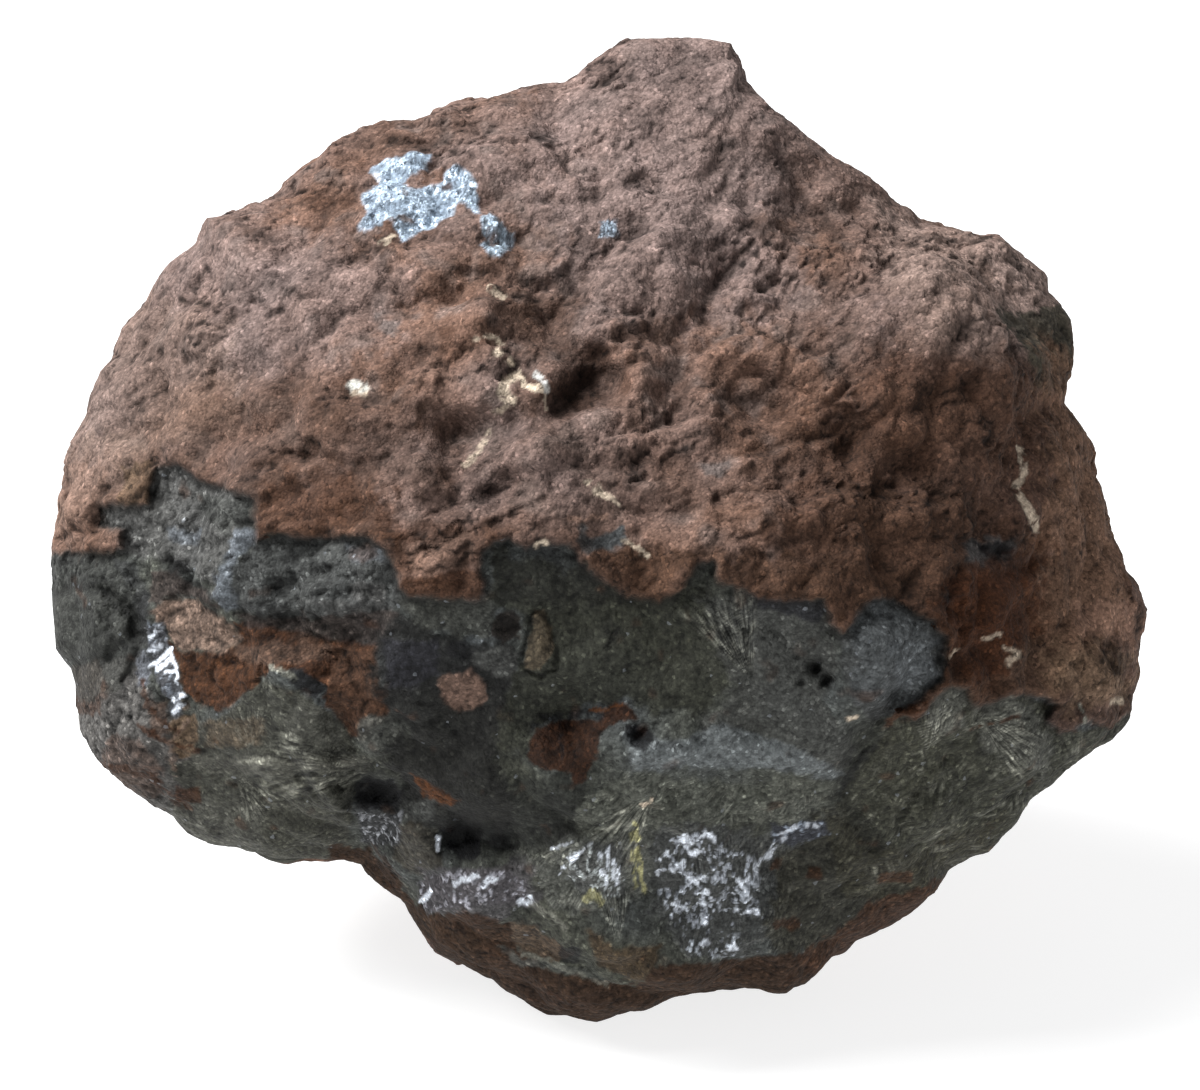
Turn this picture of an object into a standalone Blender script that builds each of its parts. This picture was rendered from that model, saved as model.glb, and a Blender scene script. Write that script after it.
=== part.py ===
"""Pyrolusite specimen: one broken lump, with an earthy brown crust above and grey fibrous ore below.

The form is worked out in millimetres in a leaning frame: "across" to the right, "up" along the picture
plane of somebody who looks down at the front of the lump by LOOK_DOWN, and "out" towards them. Every
place on the front is an (across, up) pair on that plane, and its depth is a distance out. The lump is
then stood on its flat base, in metres, with Z up.
"""

import math

import bmesh
import bpy
import numpy as np

MM = 0.001
LOOK_DOWN = math.radians(25.0)
VIEW_DISTANCE = 650.0
BASE_LEVEL = -58.5
ACROSS_CENTRE = 0.2
DEPTH_CENTRE = 2.3
CUTS_PER_SIDE = 27
FRONT_BIAS = 0.22
NARROWEST_RELIEF = 3.2
BODY_CENTRE = (0.0, -2.0)
LEAST_DEPTH = 3.0
FULLY_OUT = 10.0
NORMAL_STEP = 0.06
OUTLINE_SHARE = 0.3

BROWN = (0.20, 0.125, 0.105, 1.0)
GREY = (0.085, 0.087, 0.083, 1.0)

# The lump's outline as seen from the front, (across, up), from its top round by its left side.
OUTLINE = [
    (0, 67.5), (-4.9, 64.3), (-8.7, 63.9), (-16, 61.3), (-24.3, 58.4), (-29.5, 56.7), (-35.7, 54.3),
    (-40.5, 51.2), (-43.1, 48.5), (-48.2, 45), (-53, 43.9), (-54.8, 41), (-60.7, 37.1), (-63.3, 33),
    (-65.9, 29.9), (-67.3, 25.1), (-69.3, 20.8), (-70.4, 15.8), (-73.2, 6.9), (-74.5, 2.9), (-75.1, -2),
    (-75, -4.2), (-74.5, -9.4), (-73.8, -14), (-71.6, -16.6), (-70, -23.4), (-68.8, -26.5),
    (-65.4, -31.2), (-58.7, -35.9), (-56, -39), (-53.4, -40.8), (-49.3, -41.2), (-44.6, -42.9),
    (-39.9, -42.7), (-34.8, -42.5), (-32.1, -43.2), (-26.4, -48.9), (-24.3, -52.6), (-22.3, -55.6),
    (-19.2, -57.7), (-14.4, -59.2), (-6.7, -63.5), (0, -64.5), (4.2, -62.9), (10.5, -60.9), (17.1, -59.5),
    (22.4, -59.2), (26, -60.1), (28.4, -59.5), (31.2, -56.7), (35.3, -53.5), (43.6, -49.5), (46.6, -47.6),
    (48.1, -44.2), (53.5, -41.6), (55.2, -39.3), (59.8, -33.8), (64, -30.2), (70.2, -26), (72.3, -22.8),
    (73.8, -17.7), (74.9, -9.4), (74, -6.2), (71.5, 0), (68.9, 3.8), (66.6, 10.9), (67, 12.2),
    (65.5, 15.4), (63.7, 19.4), (65.1, 23.1), (64.9, 30.8), (64, 33), (61.8, 34.5), (60.9, 37.1),
    (58.7, 39.7), (55.2, 42.4), (52, 42.9), (44.2, 44), (40.6, 46.7), (31.2, 53), (27.6, 56.1),
    (23.9, 60.1), (20.5, 64.1), (20, 67.3), (19, 68.9), (15.6, 69.4), (9.6, 69.8), (2.6, 68.9),
]

# Broken faces of the front and of the back: depth at the centre, change per mm across, change per mm up.
FRONT_FACES = [
    (55.0, 0.00, -0.66),
    (50.0, 0.05, 0.22),
    (76.0, 0.80, -0.10),
    (84.0, -0.90, -0.10),
    (74.0, -0.45, 0.55),
    (80.0, 0.50, 0.85),
]
BACK_FACES = [
    (50.0, 0.10, 0.12),
    (60.0, 0.22, -0.62),
    (74.0, -0.25, -0.85),
    (77.0, 0.86, 0.10),
    (116.0, 1.10, -1.05),
    (68.0, -0.60, -0.05),
    (112.0, -1.25, 0.60),
    (64.0, -0.12, 0.40),
]
FACE_BLEND = 2.6
ROUNDNESS = 3.2

# Where the grey ore shows on the front; the brown crust stands proud of it.
ORE_EDGE = [
    (-90, 1), (-74.5, 1.5), (-70, 3), (-66, 7), (-61, 10.5), (-55, 8), (-49, 4), (-46.5, 0), (-38, 2),
    (-31, 1), (-26.6, -3.4), (-23.4, -6.3), (-17.1, -6.7), (-15.1, -1.4), (-8.2, -0.4), (-2, -2.3),
    (4.6, -6.7), (8, -8.3), (15.5, -2.6), (19.4, -6.1), (28.5, -7.6), (33.4, -12.4), (36.5, -8.2),
    (41.6, -7.3), (46.2, -10.5), (47.3, -17.5), (41.3, -23.5), (50.4, -19.7), (51, -24.2), (61.3, -20.8),
    (66.6, -25.8), (90, -23), (90, -40), (53, -45), (38, -56), (31, -58), (20, -58), (8, -56), (-3, -54),
    (-12, -51), (-24, -50), (-30, -42), (-34, -60), (-90, -60),
]
CRUST_THICKNESS = 2.2
CRUST_EDGE_SOFTNESS = 1.2
ORE_WRAP = 10.0
ORE_WRAP_SOFTNESS = 6.0

# Relief of the front along a line of (across, up) places: half width, height out.
RELIEF = [
    ([(-8.4, 41.3), (-9.8, 33.8), (-9.5, 26.5)], 4.5, -3.2),
    ([(-3.6, 35), (-3.2, 30)], 2.5, -2.0),
    ([(-4, 24.5), (2.5, 23.5)], 3.5, -5.0),
    ([(0.4, 21.5), (-6.3, 17.5), (-13.4, 16.5), (-20, 15)], 3.2, -3.2),
    ([(-20, 15), (-27.2, 14.3), (-33, 14.3)], 3.0, -1.8),
    ([(1.2, 30.6), (10.7, 28)], 2.5, -2.0),
    ([(21.7, 19.0), (33.6, 14.0)], 4.2, -3.6),
    ([(34.2, 14.3), (43.6, 9.6)], 3.4, -3.0),
    ([(39.3, 25.5), (46.7, 20.5)], 5.0, -2.6),
    ([(-20, 10.5), (-12, 8)], 3.4, -2.8),
    ([(-9.5, 11.8), (-8, 12.5)], 3.4, 2.2),
    ([(27.5, 51.5), (31, 48), (36, 45.5)], 3.0, -4.0),
    ([(22, 46.8), (29, 43.8)], 2.8, -3.2),
    ([(18.8, 38.7), (15.4, 34.5), (14.8, 31)], 2.6, -2.2),
    ([(52, -0.5), (57.5, -1.5)], 2.4, -3.0),
    ([(-33.5, 23.0), (-32.0, 21.5)], 2.4, -2.4),
    ([(-66, 17), (-63.5, 14)], 2.6, -2.4),
    ([(42, -15)], 6.5, 3.0),
    ([(-69.5, -8)], 5.5, 3.5),
    ([(-35.5, -23.5), (-33.3, -34.5), (-34.5, -44)], 2.8, -5.0),
    ([(-31, -33), (-28.5, -34.5)], 3.0, -2.5),
    ([(-19, -40.5), (-14, -39.5)], 3.4, -4.0),
    ([(12, -46), (30, -42)], 9.0, -4.0),
    ([(0.3, -27.5), (17.5, -27.3), (33.3, -30.5)], 3.0, 2.0),
    ([(-55, -13.5), (-35, -13.5)], 4.5, -2.4),
    ([(-9, -24), (4, -22.5)], 4.0, -2.2),
    ([(-48, -20.5), (-38, -22)], 5.0, 2.4),
    ([(-52, -29.5), (-34, -29.2)], 3.0, 1.6),
]

# Relief of the back in the same way, its heights away from the viewer.
BACK_RELIEF = [
    ([(-52, 22), (-30, 14), (-12, 17)], 4.0, -4.0),
    ([(-12, 17), (2, 6), (4, -12)], 4.0, -3.4),
    ([(10, 40), (24, 28), (40, 25)], 5.0, -4.2),
    ([(-36, -8), (-24, -24)], 7.0, -4.0),
    ([(24, -6), (42, -12)], 6.0, 3.6),
    ([(-28, 34), (-14, 38)], 6.0, 3.0),
]

# The shoulder behind the crest on the right: places past this line, down to its right, lie far back.
CREST = [(30, 62), (36.5, 51.5), (44.2, 43.2), (52.5, 35.5), (60.7, 26.1), (63.9, 19.7), (72, 12)]
SHOULDER_DROP = 13.0
SHOULDER_SOFTNESS = 1.6

# Rough breakage along the surface's own normal: size of a lump, height, seed. Swells are smooth both
# ways, and knobs are round outwards with sharp creases between them.
SWELLS = [(38.0, 7.0, 11), (20.0, 3.5, 12)]
KNOBS = [(19.0, 7.0, 21), (10.0, 4.4, 22)]
KNOB_MIDDLE = 0.2


def scatter(i, j, k, seed):
    """Repeatable whole numbers from 0 to 2**32 for whole-number cells, by mixing their bits."""
    h = i.astype(np.uint32) * np.uint32(73856093)
    h ^= j.astype(np.uint32) * np.uint32(19349663)
    h ^= k.astype(np.uint32) * np.uint32(83492791)
    h += np.uint32(seed * 2654435 % 2**32)
    h = (h ^ (h >> np.uint32(15))) * np.uint32(2246822519)
    h = (h ^ (h >> np.uint32(13))) * np.uint32(3266489917)
    return h ^ (h >> np.uint32(16))


def swell(points, seed):
    """Smooth noise in -1 to 1: a random slope at each whole-number corner, blended across the cell."""
    cell = np.floor(points)
    part = points - cell
    fade = part * part * part * (part * (part * 6 - 15) + 10)
    cell = cell.astype(np.int64)
    total = np.zeros(len(points))
    for dx in (0, 1):
        for dy in (0, 1):
            for dz in (0, 1):
                h = scatter(cell[:, 0] + dx, cell[:, 1] + dy, cell[:, 2] + dz, seed)
                slope_x = (h & np.uint32(1023)) / 511.5 - 1
                slope_y = ((h >> np.uint32(10)) & np.uint32(1023)) / 511.5 - 1
                slope_z = ((h >> np.uint32(20)) & np.uint32(1023)) / 511.5 - 1
                rise = slope_x * (part[:, 0] - dx) + slope_y * (part[:, 1] - dy) + slope_z * (part[:, 2] - dz)
                share_x = fade[:, 0] if dx else 1 - fade[:, 0]
                share_y = fade[:, 1] if dy else 1 - fade[:, 1]
                share_z = fade[:, 2] if dz else 1 - fade[:, 2]
                total += rise * share_x * share_y * share_z
    return total


def distance_to_line(across, up, line):
    """The distance of each place to an open line of (across, up) points, and which side it is on."""
    nearest = np.full(across.shape, np.inf)
    side = np.zeros(across.shape)
    if len(line) == 1:
        return np.hypot(across - line[0][0], up - line[0][1]), side
    for (ax, ay), (bx, by) in zip(line, line[1:]):
        along = ((across - ax) * (bx - ax) + (up - ay) * (by - ay)) / ((bx - ax) ** 2 + (by - ay) ** 2)
        along = np.clip(along, 0, 1)
        gap_x = across - ax - along * (bx - ax)
        gap_y = up - ay - along * (by - ay)
        gap = np.hypot(gap_x, gap_y)
        closer = gap < nearest
        nearest = np.where(closer, gap, nearest)
        side = np.where(closer, np.sign((bx - ax) * gap_y - (by - ay) * gap_x), side)
    return nearest, side


def inside(across, up, edge):
    """Whether each place is within a closed edge, by counting the edge's crossings to its right."""
    odd = np.zeros(across.shape, bool)
    for (ax, ay), (bx, by) in zip(edge, edge[1:] + edge[:1]):
        crosses = (ay > up) != (by > up)
        with np.errstate(divide="ignore", invalid="ignore"):
            odd ^= crosses & (across < (bx - ax) * (up - ay) / (by - ay) + ax)
    return odd


def ore_share(across, up, out):
    """1 on the grey ore, 0 on the brown crust, blended over the crust's broken edge.

    The ore reaches round the outline a little, and ends ORE_WRAP behind it.
    """
    gap, _ = distance_to_line(across, up, ORE_EDGE + ORE_EDGE[:1])
    depth = np.where(inside(across, up, ORE_EDGE), gap, -gap)
    share = 0.5 + 0.5 * np.tanh(depth / CRUST_EDGE_SOFTNESS)
    return share * np.clip(0.5 + (out + ORE_WRAP) / ORE_WRAP_SOFTNESS, 0, 1)


def softest(faces, across, up):
    """The smooth minimum of the depths of several flat faces: -b * log(sum(exp(-depth / b)))."""
    total = sum(np.exp(-(out + per_across * across + per_up * up) / FACE_BLEND)
                for out, per_across, per_up in faces)
    return -FACE_BLEND * np.log(total)


def relief(lines, across, up):
    """The sum over the lines of height * exp(-(distance / half width)**2)."""
    total = np.zeros(across.shape)
    for line, half_width, height in lines:
        gap, _ = distance_to_line(across, up, line)
        total += height * np.exp(-((gap / max(half_width, NARROWEST_RELIEF)) ** 2))
    return total


def leaning_form(direction, with_relief=True):
    """Places on the lump in the leaning frame for unit directions (across, up, out) from its middle.

    The direction meets a rounded box |r|**n + |out|**n = 1; r is stretched to the outline and out to the
    depth of the broken faces, then lowered or raised by the crust, the shoulder and the relief. Points
    nearer to the viewer are drawn in, so that from VIEW_DISTANCE they stay at their (across, up) place.
    """
    from_axis = np.hypot(direction[:, 0], direction[:, 1])
    out = direction[:, 2]
    size = (from_axis**ROUNDNESS + np.abs(out) ** ROUNDNESS) ** (1 / ROUNDNESS)
    corners = np.array(OUTLINE, float) - BODY_CENTRE
    reach = np.interp(
        np.arctan2(direction[:, 1], direction[:, 0]),
        np.arctan2(corners[:, 1], corners[:, 0]),
        np.hypot(corners[:, 0], corners[:, 1]),
        period=2 * math.pi,
    )
    across = BODY_CENTRE[0] + reach * direction[:, 0] / size
    up = BODY_CENTRE[1] + reach * direction[:, 1] / size
    front = softest(FRONT_FACES, across, up)
    back = softest(BACK_FACES, across, up)
    if with_relief:
        gap, side = distance_to_line(across, up, CREST)
        front -= SHOULDER_DROP * (0.5 + 0.5 * np.tanh(side * gap / SHOULDER_SOFTNESS))
        front += relief(RELIEF, across, up)
        front -= CRUST_THICKNESS * ore_share(across, up, FULLY_OUT)
        back += relief(BACK_RELIEF, across, up)
    depth = np.where(out > 0, np.maximum(front, LEAST_DEPTH), np.maximum(back, LEAST_DEPTH)) * out / size
    nearer = 1 - depth / VIEW_DISTANCE
    return np.column_stack([across * nearer, up * nearer, depth])


def outward(direction):
    """Unit normals of the form without its relief, from the cross product of small steps along it."""
    helper = np.where(np.abs(direction[:, 2:3]) < 0.8, [[0.0, 0.0, 1.0]], [[1.0, 0.0, 0.0]])
    first = np.cross(helper, direction)
    first /= np.linalg.norm(first, axis=1, keepdims=True)
    second = np.cross(direction, first)

    def at(offset):
        moved = direction + NORMAL_STEP * offset
        return leaning_form(moved / np.linalg.norm(moved, axis=1, keepdims=True), with_relief=False)

    normal = np.cross(at(first) - at(-first), at(second) - at(-second))
    return normal / np.linalg.norm(normal, axis=1, keepdims=True)


def rough_form(direction):
    """The form with its breakage: noise of several sizes along the normals, least at the outline."""
    places = leaning_form(direction)
    height = np.zeros(len(places))
    for size, rise, seed in SWELLS:
        height += rise * swell(places / size, seed)
    for size, rise, seed in KNOBS:
        height += rise * (np.abs(swell(places / size, seed)) - KNOB_MIDDLE)
    height *= OUTLINE_SHARE + (1 - OUTLINE_SHARE) * np.abs(direction[:, 2])
    return places + outward(direction) * height[:, None]


def stood_up(places):
    """The leaning frame turned upright, cut flat at the base by drawing low points towards the middle."""
    across, up, out = places.T
    depth = up * math.sin(LOOK_DOWN) - out * math.cos(LOOK_DOWN)
    height = up * math.cos(LOOK_DOWN) + out * math.sin(LOOK_DOWN)
    share = np.where(height < BASE_LEVEL, BASE_LEVEL / np.minimum(height, BASE_LEVEL), 1.0)
    return np.column_stack([
        across * share - ACROSS_CENTRE,
        depth * share - DEPTH_CENTRE,
        height * share - BASE_LEVEL,
    ])


def material(name, colour, roughness):
    made = bpy.data.materials.new(name)
    made.use_nodes = True
    shader = made.node_tree.nodes["Principled BSDF"]
    shader.inputs["Base Color"].default_value = colour
    shader.inputs["Roughness"].default_value = roughness
    shader.inputs["Metallic"].default_value = 0.0
    made.diffuse_color = colour
    return made


def specimen():
    """A cube cut into a fine grid, each grid point moved to the lump's surface in its direction."""
    shape = bmesh.new()
    bmesh.ops.create_cube(shape, size=2.0)
    bmesh.ops.subdivide_edges(shape, edges=shape.edges[:], cuts=CUTS_PER_SIDE, use_grid_fill=True)
    grid = np.array([vertex.co[:] for vertex in shape.verts])
    direction = np.tan(grid * math.pi / 4)
    direction /= np.linalg.norm(direction, axis=1, keepdims=True)
    direction[:, 2] += FRONT_BIAS
    direction /= np.linalg.norm(direction, axis=1, keepdims=True)
    leaning = rough_form(direction)
    for vertex, place in zip(shape.verts, stood_up(leaning) * MM):
        vertex.co = place
    grey = ore_share(leaning[:, 0], leaning[:, 1], leaning[:, 2])
    for face in shape.faces:
        face.material_index = int(sum(grey[vertex.index] for vertex in face.verts) > 2)
        face.smooth = True
    bmesh.ops.triangulate(shape, faces=shape.faces[:])
    bmesh.ops.recalc_face_normals(shape, faces=shape.faces[:])
    mesh = bpy.data.meshes.new("specimen")
    shape.to_mesh(mesh)
    shape.free()
    mesh.materials.append(material("brown_crust", BROWN, 0.9))
    mesh.materials.append(material("grey_ore", GREY, 0.5))
    made = bpy.data.objects.new("specimen", mesh)
    bpy.context.scene.collection.objects.link(made)
    return made


def main():
    for old in list(bpy.data.objects):
        bpy.data.objects.remove(old, do_unlink=True)
    specimen()


main()
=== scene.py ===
"""Looks of the pyrolusite specimen: a brown earthy crust over broken grey fibrous ore.

Sizes are in millimetres. The lump is worked out in a leaning frame: "across" to the right and "up" on
the picture plane of somebody who looks down at its front by LOOK_DOWN, and "out" towards them. Places
of features are (across, up) pairs on that plane. stood_up() turns the leaning frame upright.
"""

import math

import bpy
import numpy as np
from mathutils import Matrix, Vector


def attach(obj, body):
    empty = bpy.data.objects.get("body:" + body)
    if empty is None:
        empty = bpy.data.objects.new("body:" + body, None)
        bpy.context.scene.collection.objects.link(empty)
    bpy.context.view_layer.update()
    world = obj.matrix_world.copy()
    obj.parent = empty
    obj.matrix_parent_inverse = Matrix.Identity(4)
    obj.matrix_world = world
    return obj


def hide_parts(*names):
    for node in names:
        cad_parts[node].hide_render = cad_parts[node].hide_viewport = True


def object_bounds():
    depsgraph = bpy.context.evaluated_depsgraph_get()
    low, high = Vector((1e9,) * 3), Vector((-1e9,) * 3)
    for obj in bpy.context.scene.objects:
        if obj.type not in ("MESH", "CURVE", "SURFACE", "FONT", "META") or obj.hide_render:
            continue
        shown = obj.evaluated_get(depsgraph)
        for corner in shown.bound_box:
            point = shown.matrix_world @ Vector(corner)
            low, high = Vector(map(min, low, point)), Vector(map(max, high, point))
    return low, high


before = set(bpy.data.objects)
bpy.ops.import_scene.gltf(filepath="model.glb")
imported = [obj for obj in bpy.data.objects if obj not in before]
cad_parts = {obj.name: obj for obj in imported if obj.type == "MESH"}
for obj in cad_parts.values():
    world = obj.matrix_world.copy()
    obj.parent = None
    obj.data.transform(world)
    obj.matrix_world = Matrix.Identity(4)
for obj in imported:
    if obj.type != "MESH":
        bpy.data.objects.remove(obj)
CAD_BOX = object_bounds()

MM = 0.001
LOOK_DOWN = math.radians(25.0)
VIEW_DISTANCE = 650.0
FRAME_WIDTH = 163.04
BASE_LEVEL = -58.5
ACROSS_CENTRE = 0.2
DEPTH_CENTRE = 2.3
BODY_CENTRE = (0.0, -2.0)
LEAST_DEPTH = 3.0
NORMAL_STEP = 0.06
OUTLINE_SHARE = 0.3
TILES_PER_SIDE = 3
TILE_CELLS = 300
FRONT_REACH = math.radians(100.0)

OUTLINE = [
    (0, 67.5), (-4.9, 64.3), (-8.7, 63.9), (-16, 61.3), (-24.3, 58.4), (-29.5, 56.7), (-35.7, 54.3),
    (-40.5, 51.2), (-43.1, 48.5), (-48.2, 45), (-53, 43.9), (-54.8, 41), (-60.7, 37.1), (-63.3, 33),
    (-65.9, 29.9), (-67.3, 25.1), (-69.3, 20.8), (-70.4, 15.8), (-73.2, 6.9), (-74.5, 2.9), (-75.1, -2),
    (-75, -4.2), (-74.5, -9.4), (-73.8, -14), (-71.6, -16.6), (-70, -23.4), (-68.8, -26.5), (-65.4, -31.2),
    (-58.7, -35.9), (-56, -39), (-53.4, -40.8), (-49.3, -41.2), (-44.6, -42.9), (-39.9, -42.7),
    (-34.8, -42.5), (-32.1, -43.2), (-26.4, -48.9), (-24.3, -52.6), (-22.3, -55.6), (-19.2, -57.7),
    (-14.4, -59.2), (-6.7, -63.5), (0, -64.5), (4.2, -62.9), (10.5, -60.9), (17.1, -59.5), (22.4, -59.2),
    (26, -60.1), (28.4, -59.5), (31.2, -56.7), (35.3, -53.5), (43.6, -49.5), (46.6, -47.6), (48.1, -44.2),
    (53.5, -41.6), (55.2, -39.3), (59.8, -33.8), (64, -30.2), (70.2, -26), (72.3, -22.8), (73.8, -17.7),
    (74.9, -9.4), (74, -6.2), (71.5, 0), (68.9, 3.8), (66.6, 10.9), (67, 12.2), (65.5, 15.4), (63.7, 19.4),
    (65.1, 23.1), (64.9, 30.8), (64, 33), (61.8, 34.5), (60.9, 37.1), (58.7, 39.7), (55.2, 42.4),
    (52, 42.9), (44.2, 44), (40.6, 46.7), (31.2, 53), (27.6, 56.1), (23.9, 60.1), (20.5, 64.1), (20, 67.3),
    (19, 68.9), (15.6, 69.4), (9.6, 69.8), (2.6, 68.9),
]

# Broken faces of the front and of the back: depth at the centre, change per mm across, change per mm up.
FRONT_FACES = [
    (55.0, 0.00, -0.66),
    (50.0, 0.05, 0.22),
    (76.0, 0.80, -0.10),
    (84.0, -0.90, -0.10),
    (74.0, -0.45, 0.55),
    (80.0, 0.50, 0.85),
]
BACK_FACES = [
    (50.0, 0.10, 0.12),
    (60.0, 0.22, -0.62),
    (74.0, -0.25, -0.85),
    (77.0, 0.86, 0.10),
    (116.0, 1.10, -1.05),
    (68.0, -0.60, -0.05),
    (112.0, -1.25, 0.60),
    (64.0, -0.12, 0.40),
]
FACE_BLEND = 2.6
ROUNDNESS = 3.2
CREST = [(30, 62), (36.5, 51.5), (44.2, 43.2), (52.5, 35.5), (60.7, 26.1), (63.9, 19.7), (72, 12)]
SHOULDER_DROP = 13.0
SHOULDER_SOFTNESS = 1.6
SWELLS = [(38.0, 7.0, 11), (20.0, 3.5, 12)]
KNOBS = [(19.0, 7.0, 21), (10.0, 4.4, 22)]
KNOB_MIDDLE = 0.2

# The broken edge of the crust: the grey ore is inside it.
ORE_EDGE = [
    (-89.7, -1), (-75, -1), (-66.6, -1), (-64.7, -0.4), (-65.1, 2), (-68.2, 2.6), (-68.1, 5.3),
    (-61.4, 5.4), (-60.7, 10.5), (-57.1, 10.9), (-53.9, 8.6), (-49.6, 7.5), (-47, 6.4), (-46.6, 0.7),
    (-43.5, 1.5), (-39.3, 1), (-31.2, 1.2), (-28, -2), (-26.8, -6.1), (-25.5, -7.1), (-16, -7.6),
    (-15.2, -5.6), (-16, -3.1), (-15.5, -1.1), (-13.9, 0.5), (-12, 0.7), (-9.5, -0.5), (-6, 0.1),
    (-3.8, -0.1), (-1.2, -3.5), (1.5, -5.2), (4.1, -7.2), (8.6, -7.9), (11.3, -6.4), (14.4, -2.2),
    (15.9, -2.4), (16.4, -4.9), (19.2, -6), (23.4, -7.6), (31, -7.6), (31.9, -10.5), (33.4, -12),
    (34.8, -11.1), (36, -9.1), (38, -7.6), (40.8, -7.3), (43.3, -9.1), (46.1, -10.5), (47.4, -12.6),
    (47.7, -15.6), (47.3, -18.5), (44.8, -20.5), (41.4, -22.8), (44, -23.8), (46.2, -21.1), (48.4, -19.2),
    (50.5, -19.7), (51.1, -21.6), (52.2, -22.1), (57.9, -20.2), (61.1, -20.7), (62.8, -21.7), (61.4, -23.8),
    (63.5, -25.5), (67, -24), (70.2, -24.7), (72.6, -23), (89.7, -21.1), (89.7, -95.8), (-89.7, -95.8),
]
CRUST_THICKNESS = 2.2
CRUST_EDGE_SOFTNESS = 0.3
# The crust's lip stands up and the ore under it gets painted shade: how far out of the edge or in, width,
# strength.
LIP = (1.0, 0.9, 0.5)
LIP_SHADE = (0.35, 0.6, 0.55)
# The ore reaches back to ORE_WRAP behind the picture plane. More of it is in broken patches of the back:
# middle across, middle up, half width, half height.
ORE_WRAP = 10.0
ORE_WRAP_SOFTNESS = 6.0
BACK_ORE = [(-22, -22, 24, 15), (30, 26, 13, 10)]

# Shifts that break an edge or a pattern: size, push, seed.
RELIEF_SHIFTS = ((5.0, 1.8, 151), (2.2, 0.9, 153))
LOOSE_SHIFTS = ((7.0, 1.6, 51), (3.0, 1.6, 53), (1.3, 1.1, 55))
TIGHT_SHIFTS = ((2.2, 0.5, 57), (0.9, 0.5, 59))
CRUST_SHIFTS = ((2.4, 0.9, 37), (0.9, 0.35, 137))
ORE_SHIFTS = ((2.0, 0.8, 71),)
FELT_SHIFTS = ((1.2, 0.7, 120),)

# Knobs, hollows and pits of the crust and of the ore. A shade is painted shade laid into a hollow or pit, as
# a share of the colour's tone.
CRUST_KNOB_SIZE = 6.0
CRUST_KNOB_RISE = 2.4
CRUST_HOLLOW_SIZE = 4.0
CRUST_HOLLOW_DEPTH = 2.0
CRUST_HOLLOW_SHADE = 3.2
CRUST_PIT_SPACING = 7.0
CRUST_PIT_DEPTH = 0.9
ORE_KNOB_SIZE = 4.5
ORE_KNOB_RISE = 1.2
ORE_HOLLOW_SIZE = 2.6
ORE_HOLLOW_SHADE = 2.0
ORE_CRYSTAL_SIZE = 0.75
ORE_PIT_SPACING = 6.0
ORE_PIT_DEPTH = 0.5
PIT_SHADE = (1.6, 1.4)
STROKE_LENGTH = 1.5
# Broken plates: size, rise, darkness of the painted shadow line at the step, seed.
CRUST_PLATES = [(7.0, 1.1, 1.1, 35), (3.4, 0.65, 1.7, 30), (1.7, 0.42, 2.3, 33)]
CRUST_PLATE_LENGTH = 1.35
ORE_PLATES = [(3.6, 0.55, 1.1, 42), (1.6, 0.36, 1.5, 47)]
ORE_PLATE_LENGTH = 1.2
# Grains: size, rise, shade, seed.
CRUST_GRAINS = [(1.4, 0.30, 0.8, 39), (0.7, 0.16, 0.8, 40)]
ORE_GRAINS = [(1.1, 0.16, 2.0, 44), (0.6, 0.08, 1.7, 45)]
TONE_STRENGTH = 0.42
NEEDLE_RISE = 0.30

# Relief of the front along a line of places: half width, height out.
RELIEF = [
    ([(-8.4, 41.3), (-9.8, 33.8), (-9.5, 26.5)], 4.5, -3.2),
    ([(-3.6, 35), (-3.2, 30)], 2.5, -2.0),
    ([(-3.4, 22.0), (-2.2, 24.2)], 2.5, -1.7),
    ([(0.8, 25.8)], 2.4, -1.5),
    ([(-10.0, 30.0), (-4.0, 29.5)], 3.6, -1.6),
    ([(0.4, 21.5), (-6.3, 17.5), (-13.4, 16.5), (-20, 15)], 3.2, -3.2),
    ([(-20, 15), (-27.2, 14.3), (-33, 14.3)], 3.0, -1.8),
    ([(1.2, 30.6), (10.7, 28)], 2.5, -2.0),
    ([(21.7, 19.0), (33.6, 14.0)], 4.2, -3.6),
    ([(34.2, 14.3), (43.6, 9.6)], 3.4, -3.0),
    ([(39.3, 25.5), (46.7, 20.5)], 5.0, -2.6),
    ([(-20, 10.5), (-12, 8)], 3.4, -2.8),
    ([(-9.5, 11.8), (-8, 12.5)], 3.4, 2.2),
    ([(27.5, 51.5), (31, 48), (36, 45.5)], 3.0, -4.0),
    ([(22, 46.8), (29, 43.8)], 2.8, -3.2),
    ([(18.8, 38.7), (15.4, 34.5), (14.8, 31)], 2.6, -2.2),
    ([(52, -0.5), (57.5, -1.5)], 2.4, -3.0),
    ([(-33.5, 23.0), (-32.0, 21.5)], 2.4, -2.4),
    ([(-66, 17), (-63.5, 14)], 2.6, -2.4),
    ([(42, -15)], 6.5, 3.0),
    ([(-69.5, -8)], 5.5, 3.5),
    ([(-35.5, -23.5), (-33.3, -34.5), (-34.5, -44)], 2.8, -5.0),
    ([(-31, -33), (-28.5, -34.5)], 3.0, -2.5),
    ([(-19, -40.5), (-14, -39.5)], 3.4, -4.0),
    ([(12, -46), (30, -42)], 9.0, -4.0),
    ([(0.3, -27.5), (17.5, -27.3), (33.3, -30.5)], 3.0, 2.0),
    ([(-55, -13.5), (-35, -13.5)], 4.5, -2.4),
    ([(-9, -24), (4, -22.5)], 4.0, -2.2),
    ([(-48, -20.5), (-38, -22)], 5.0, 2.4),
    ([(-52, -29.5), (-34, -29.2)], 3.0, 1.6),
]
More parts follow.
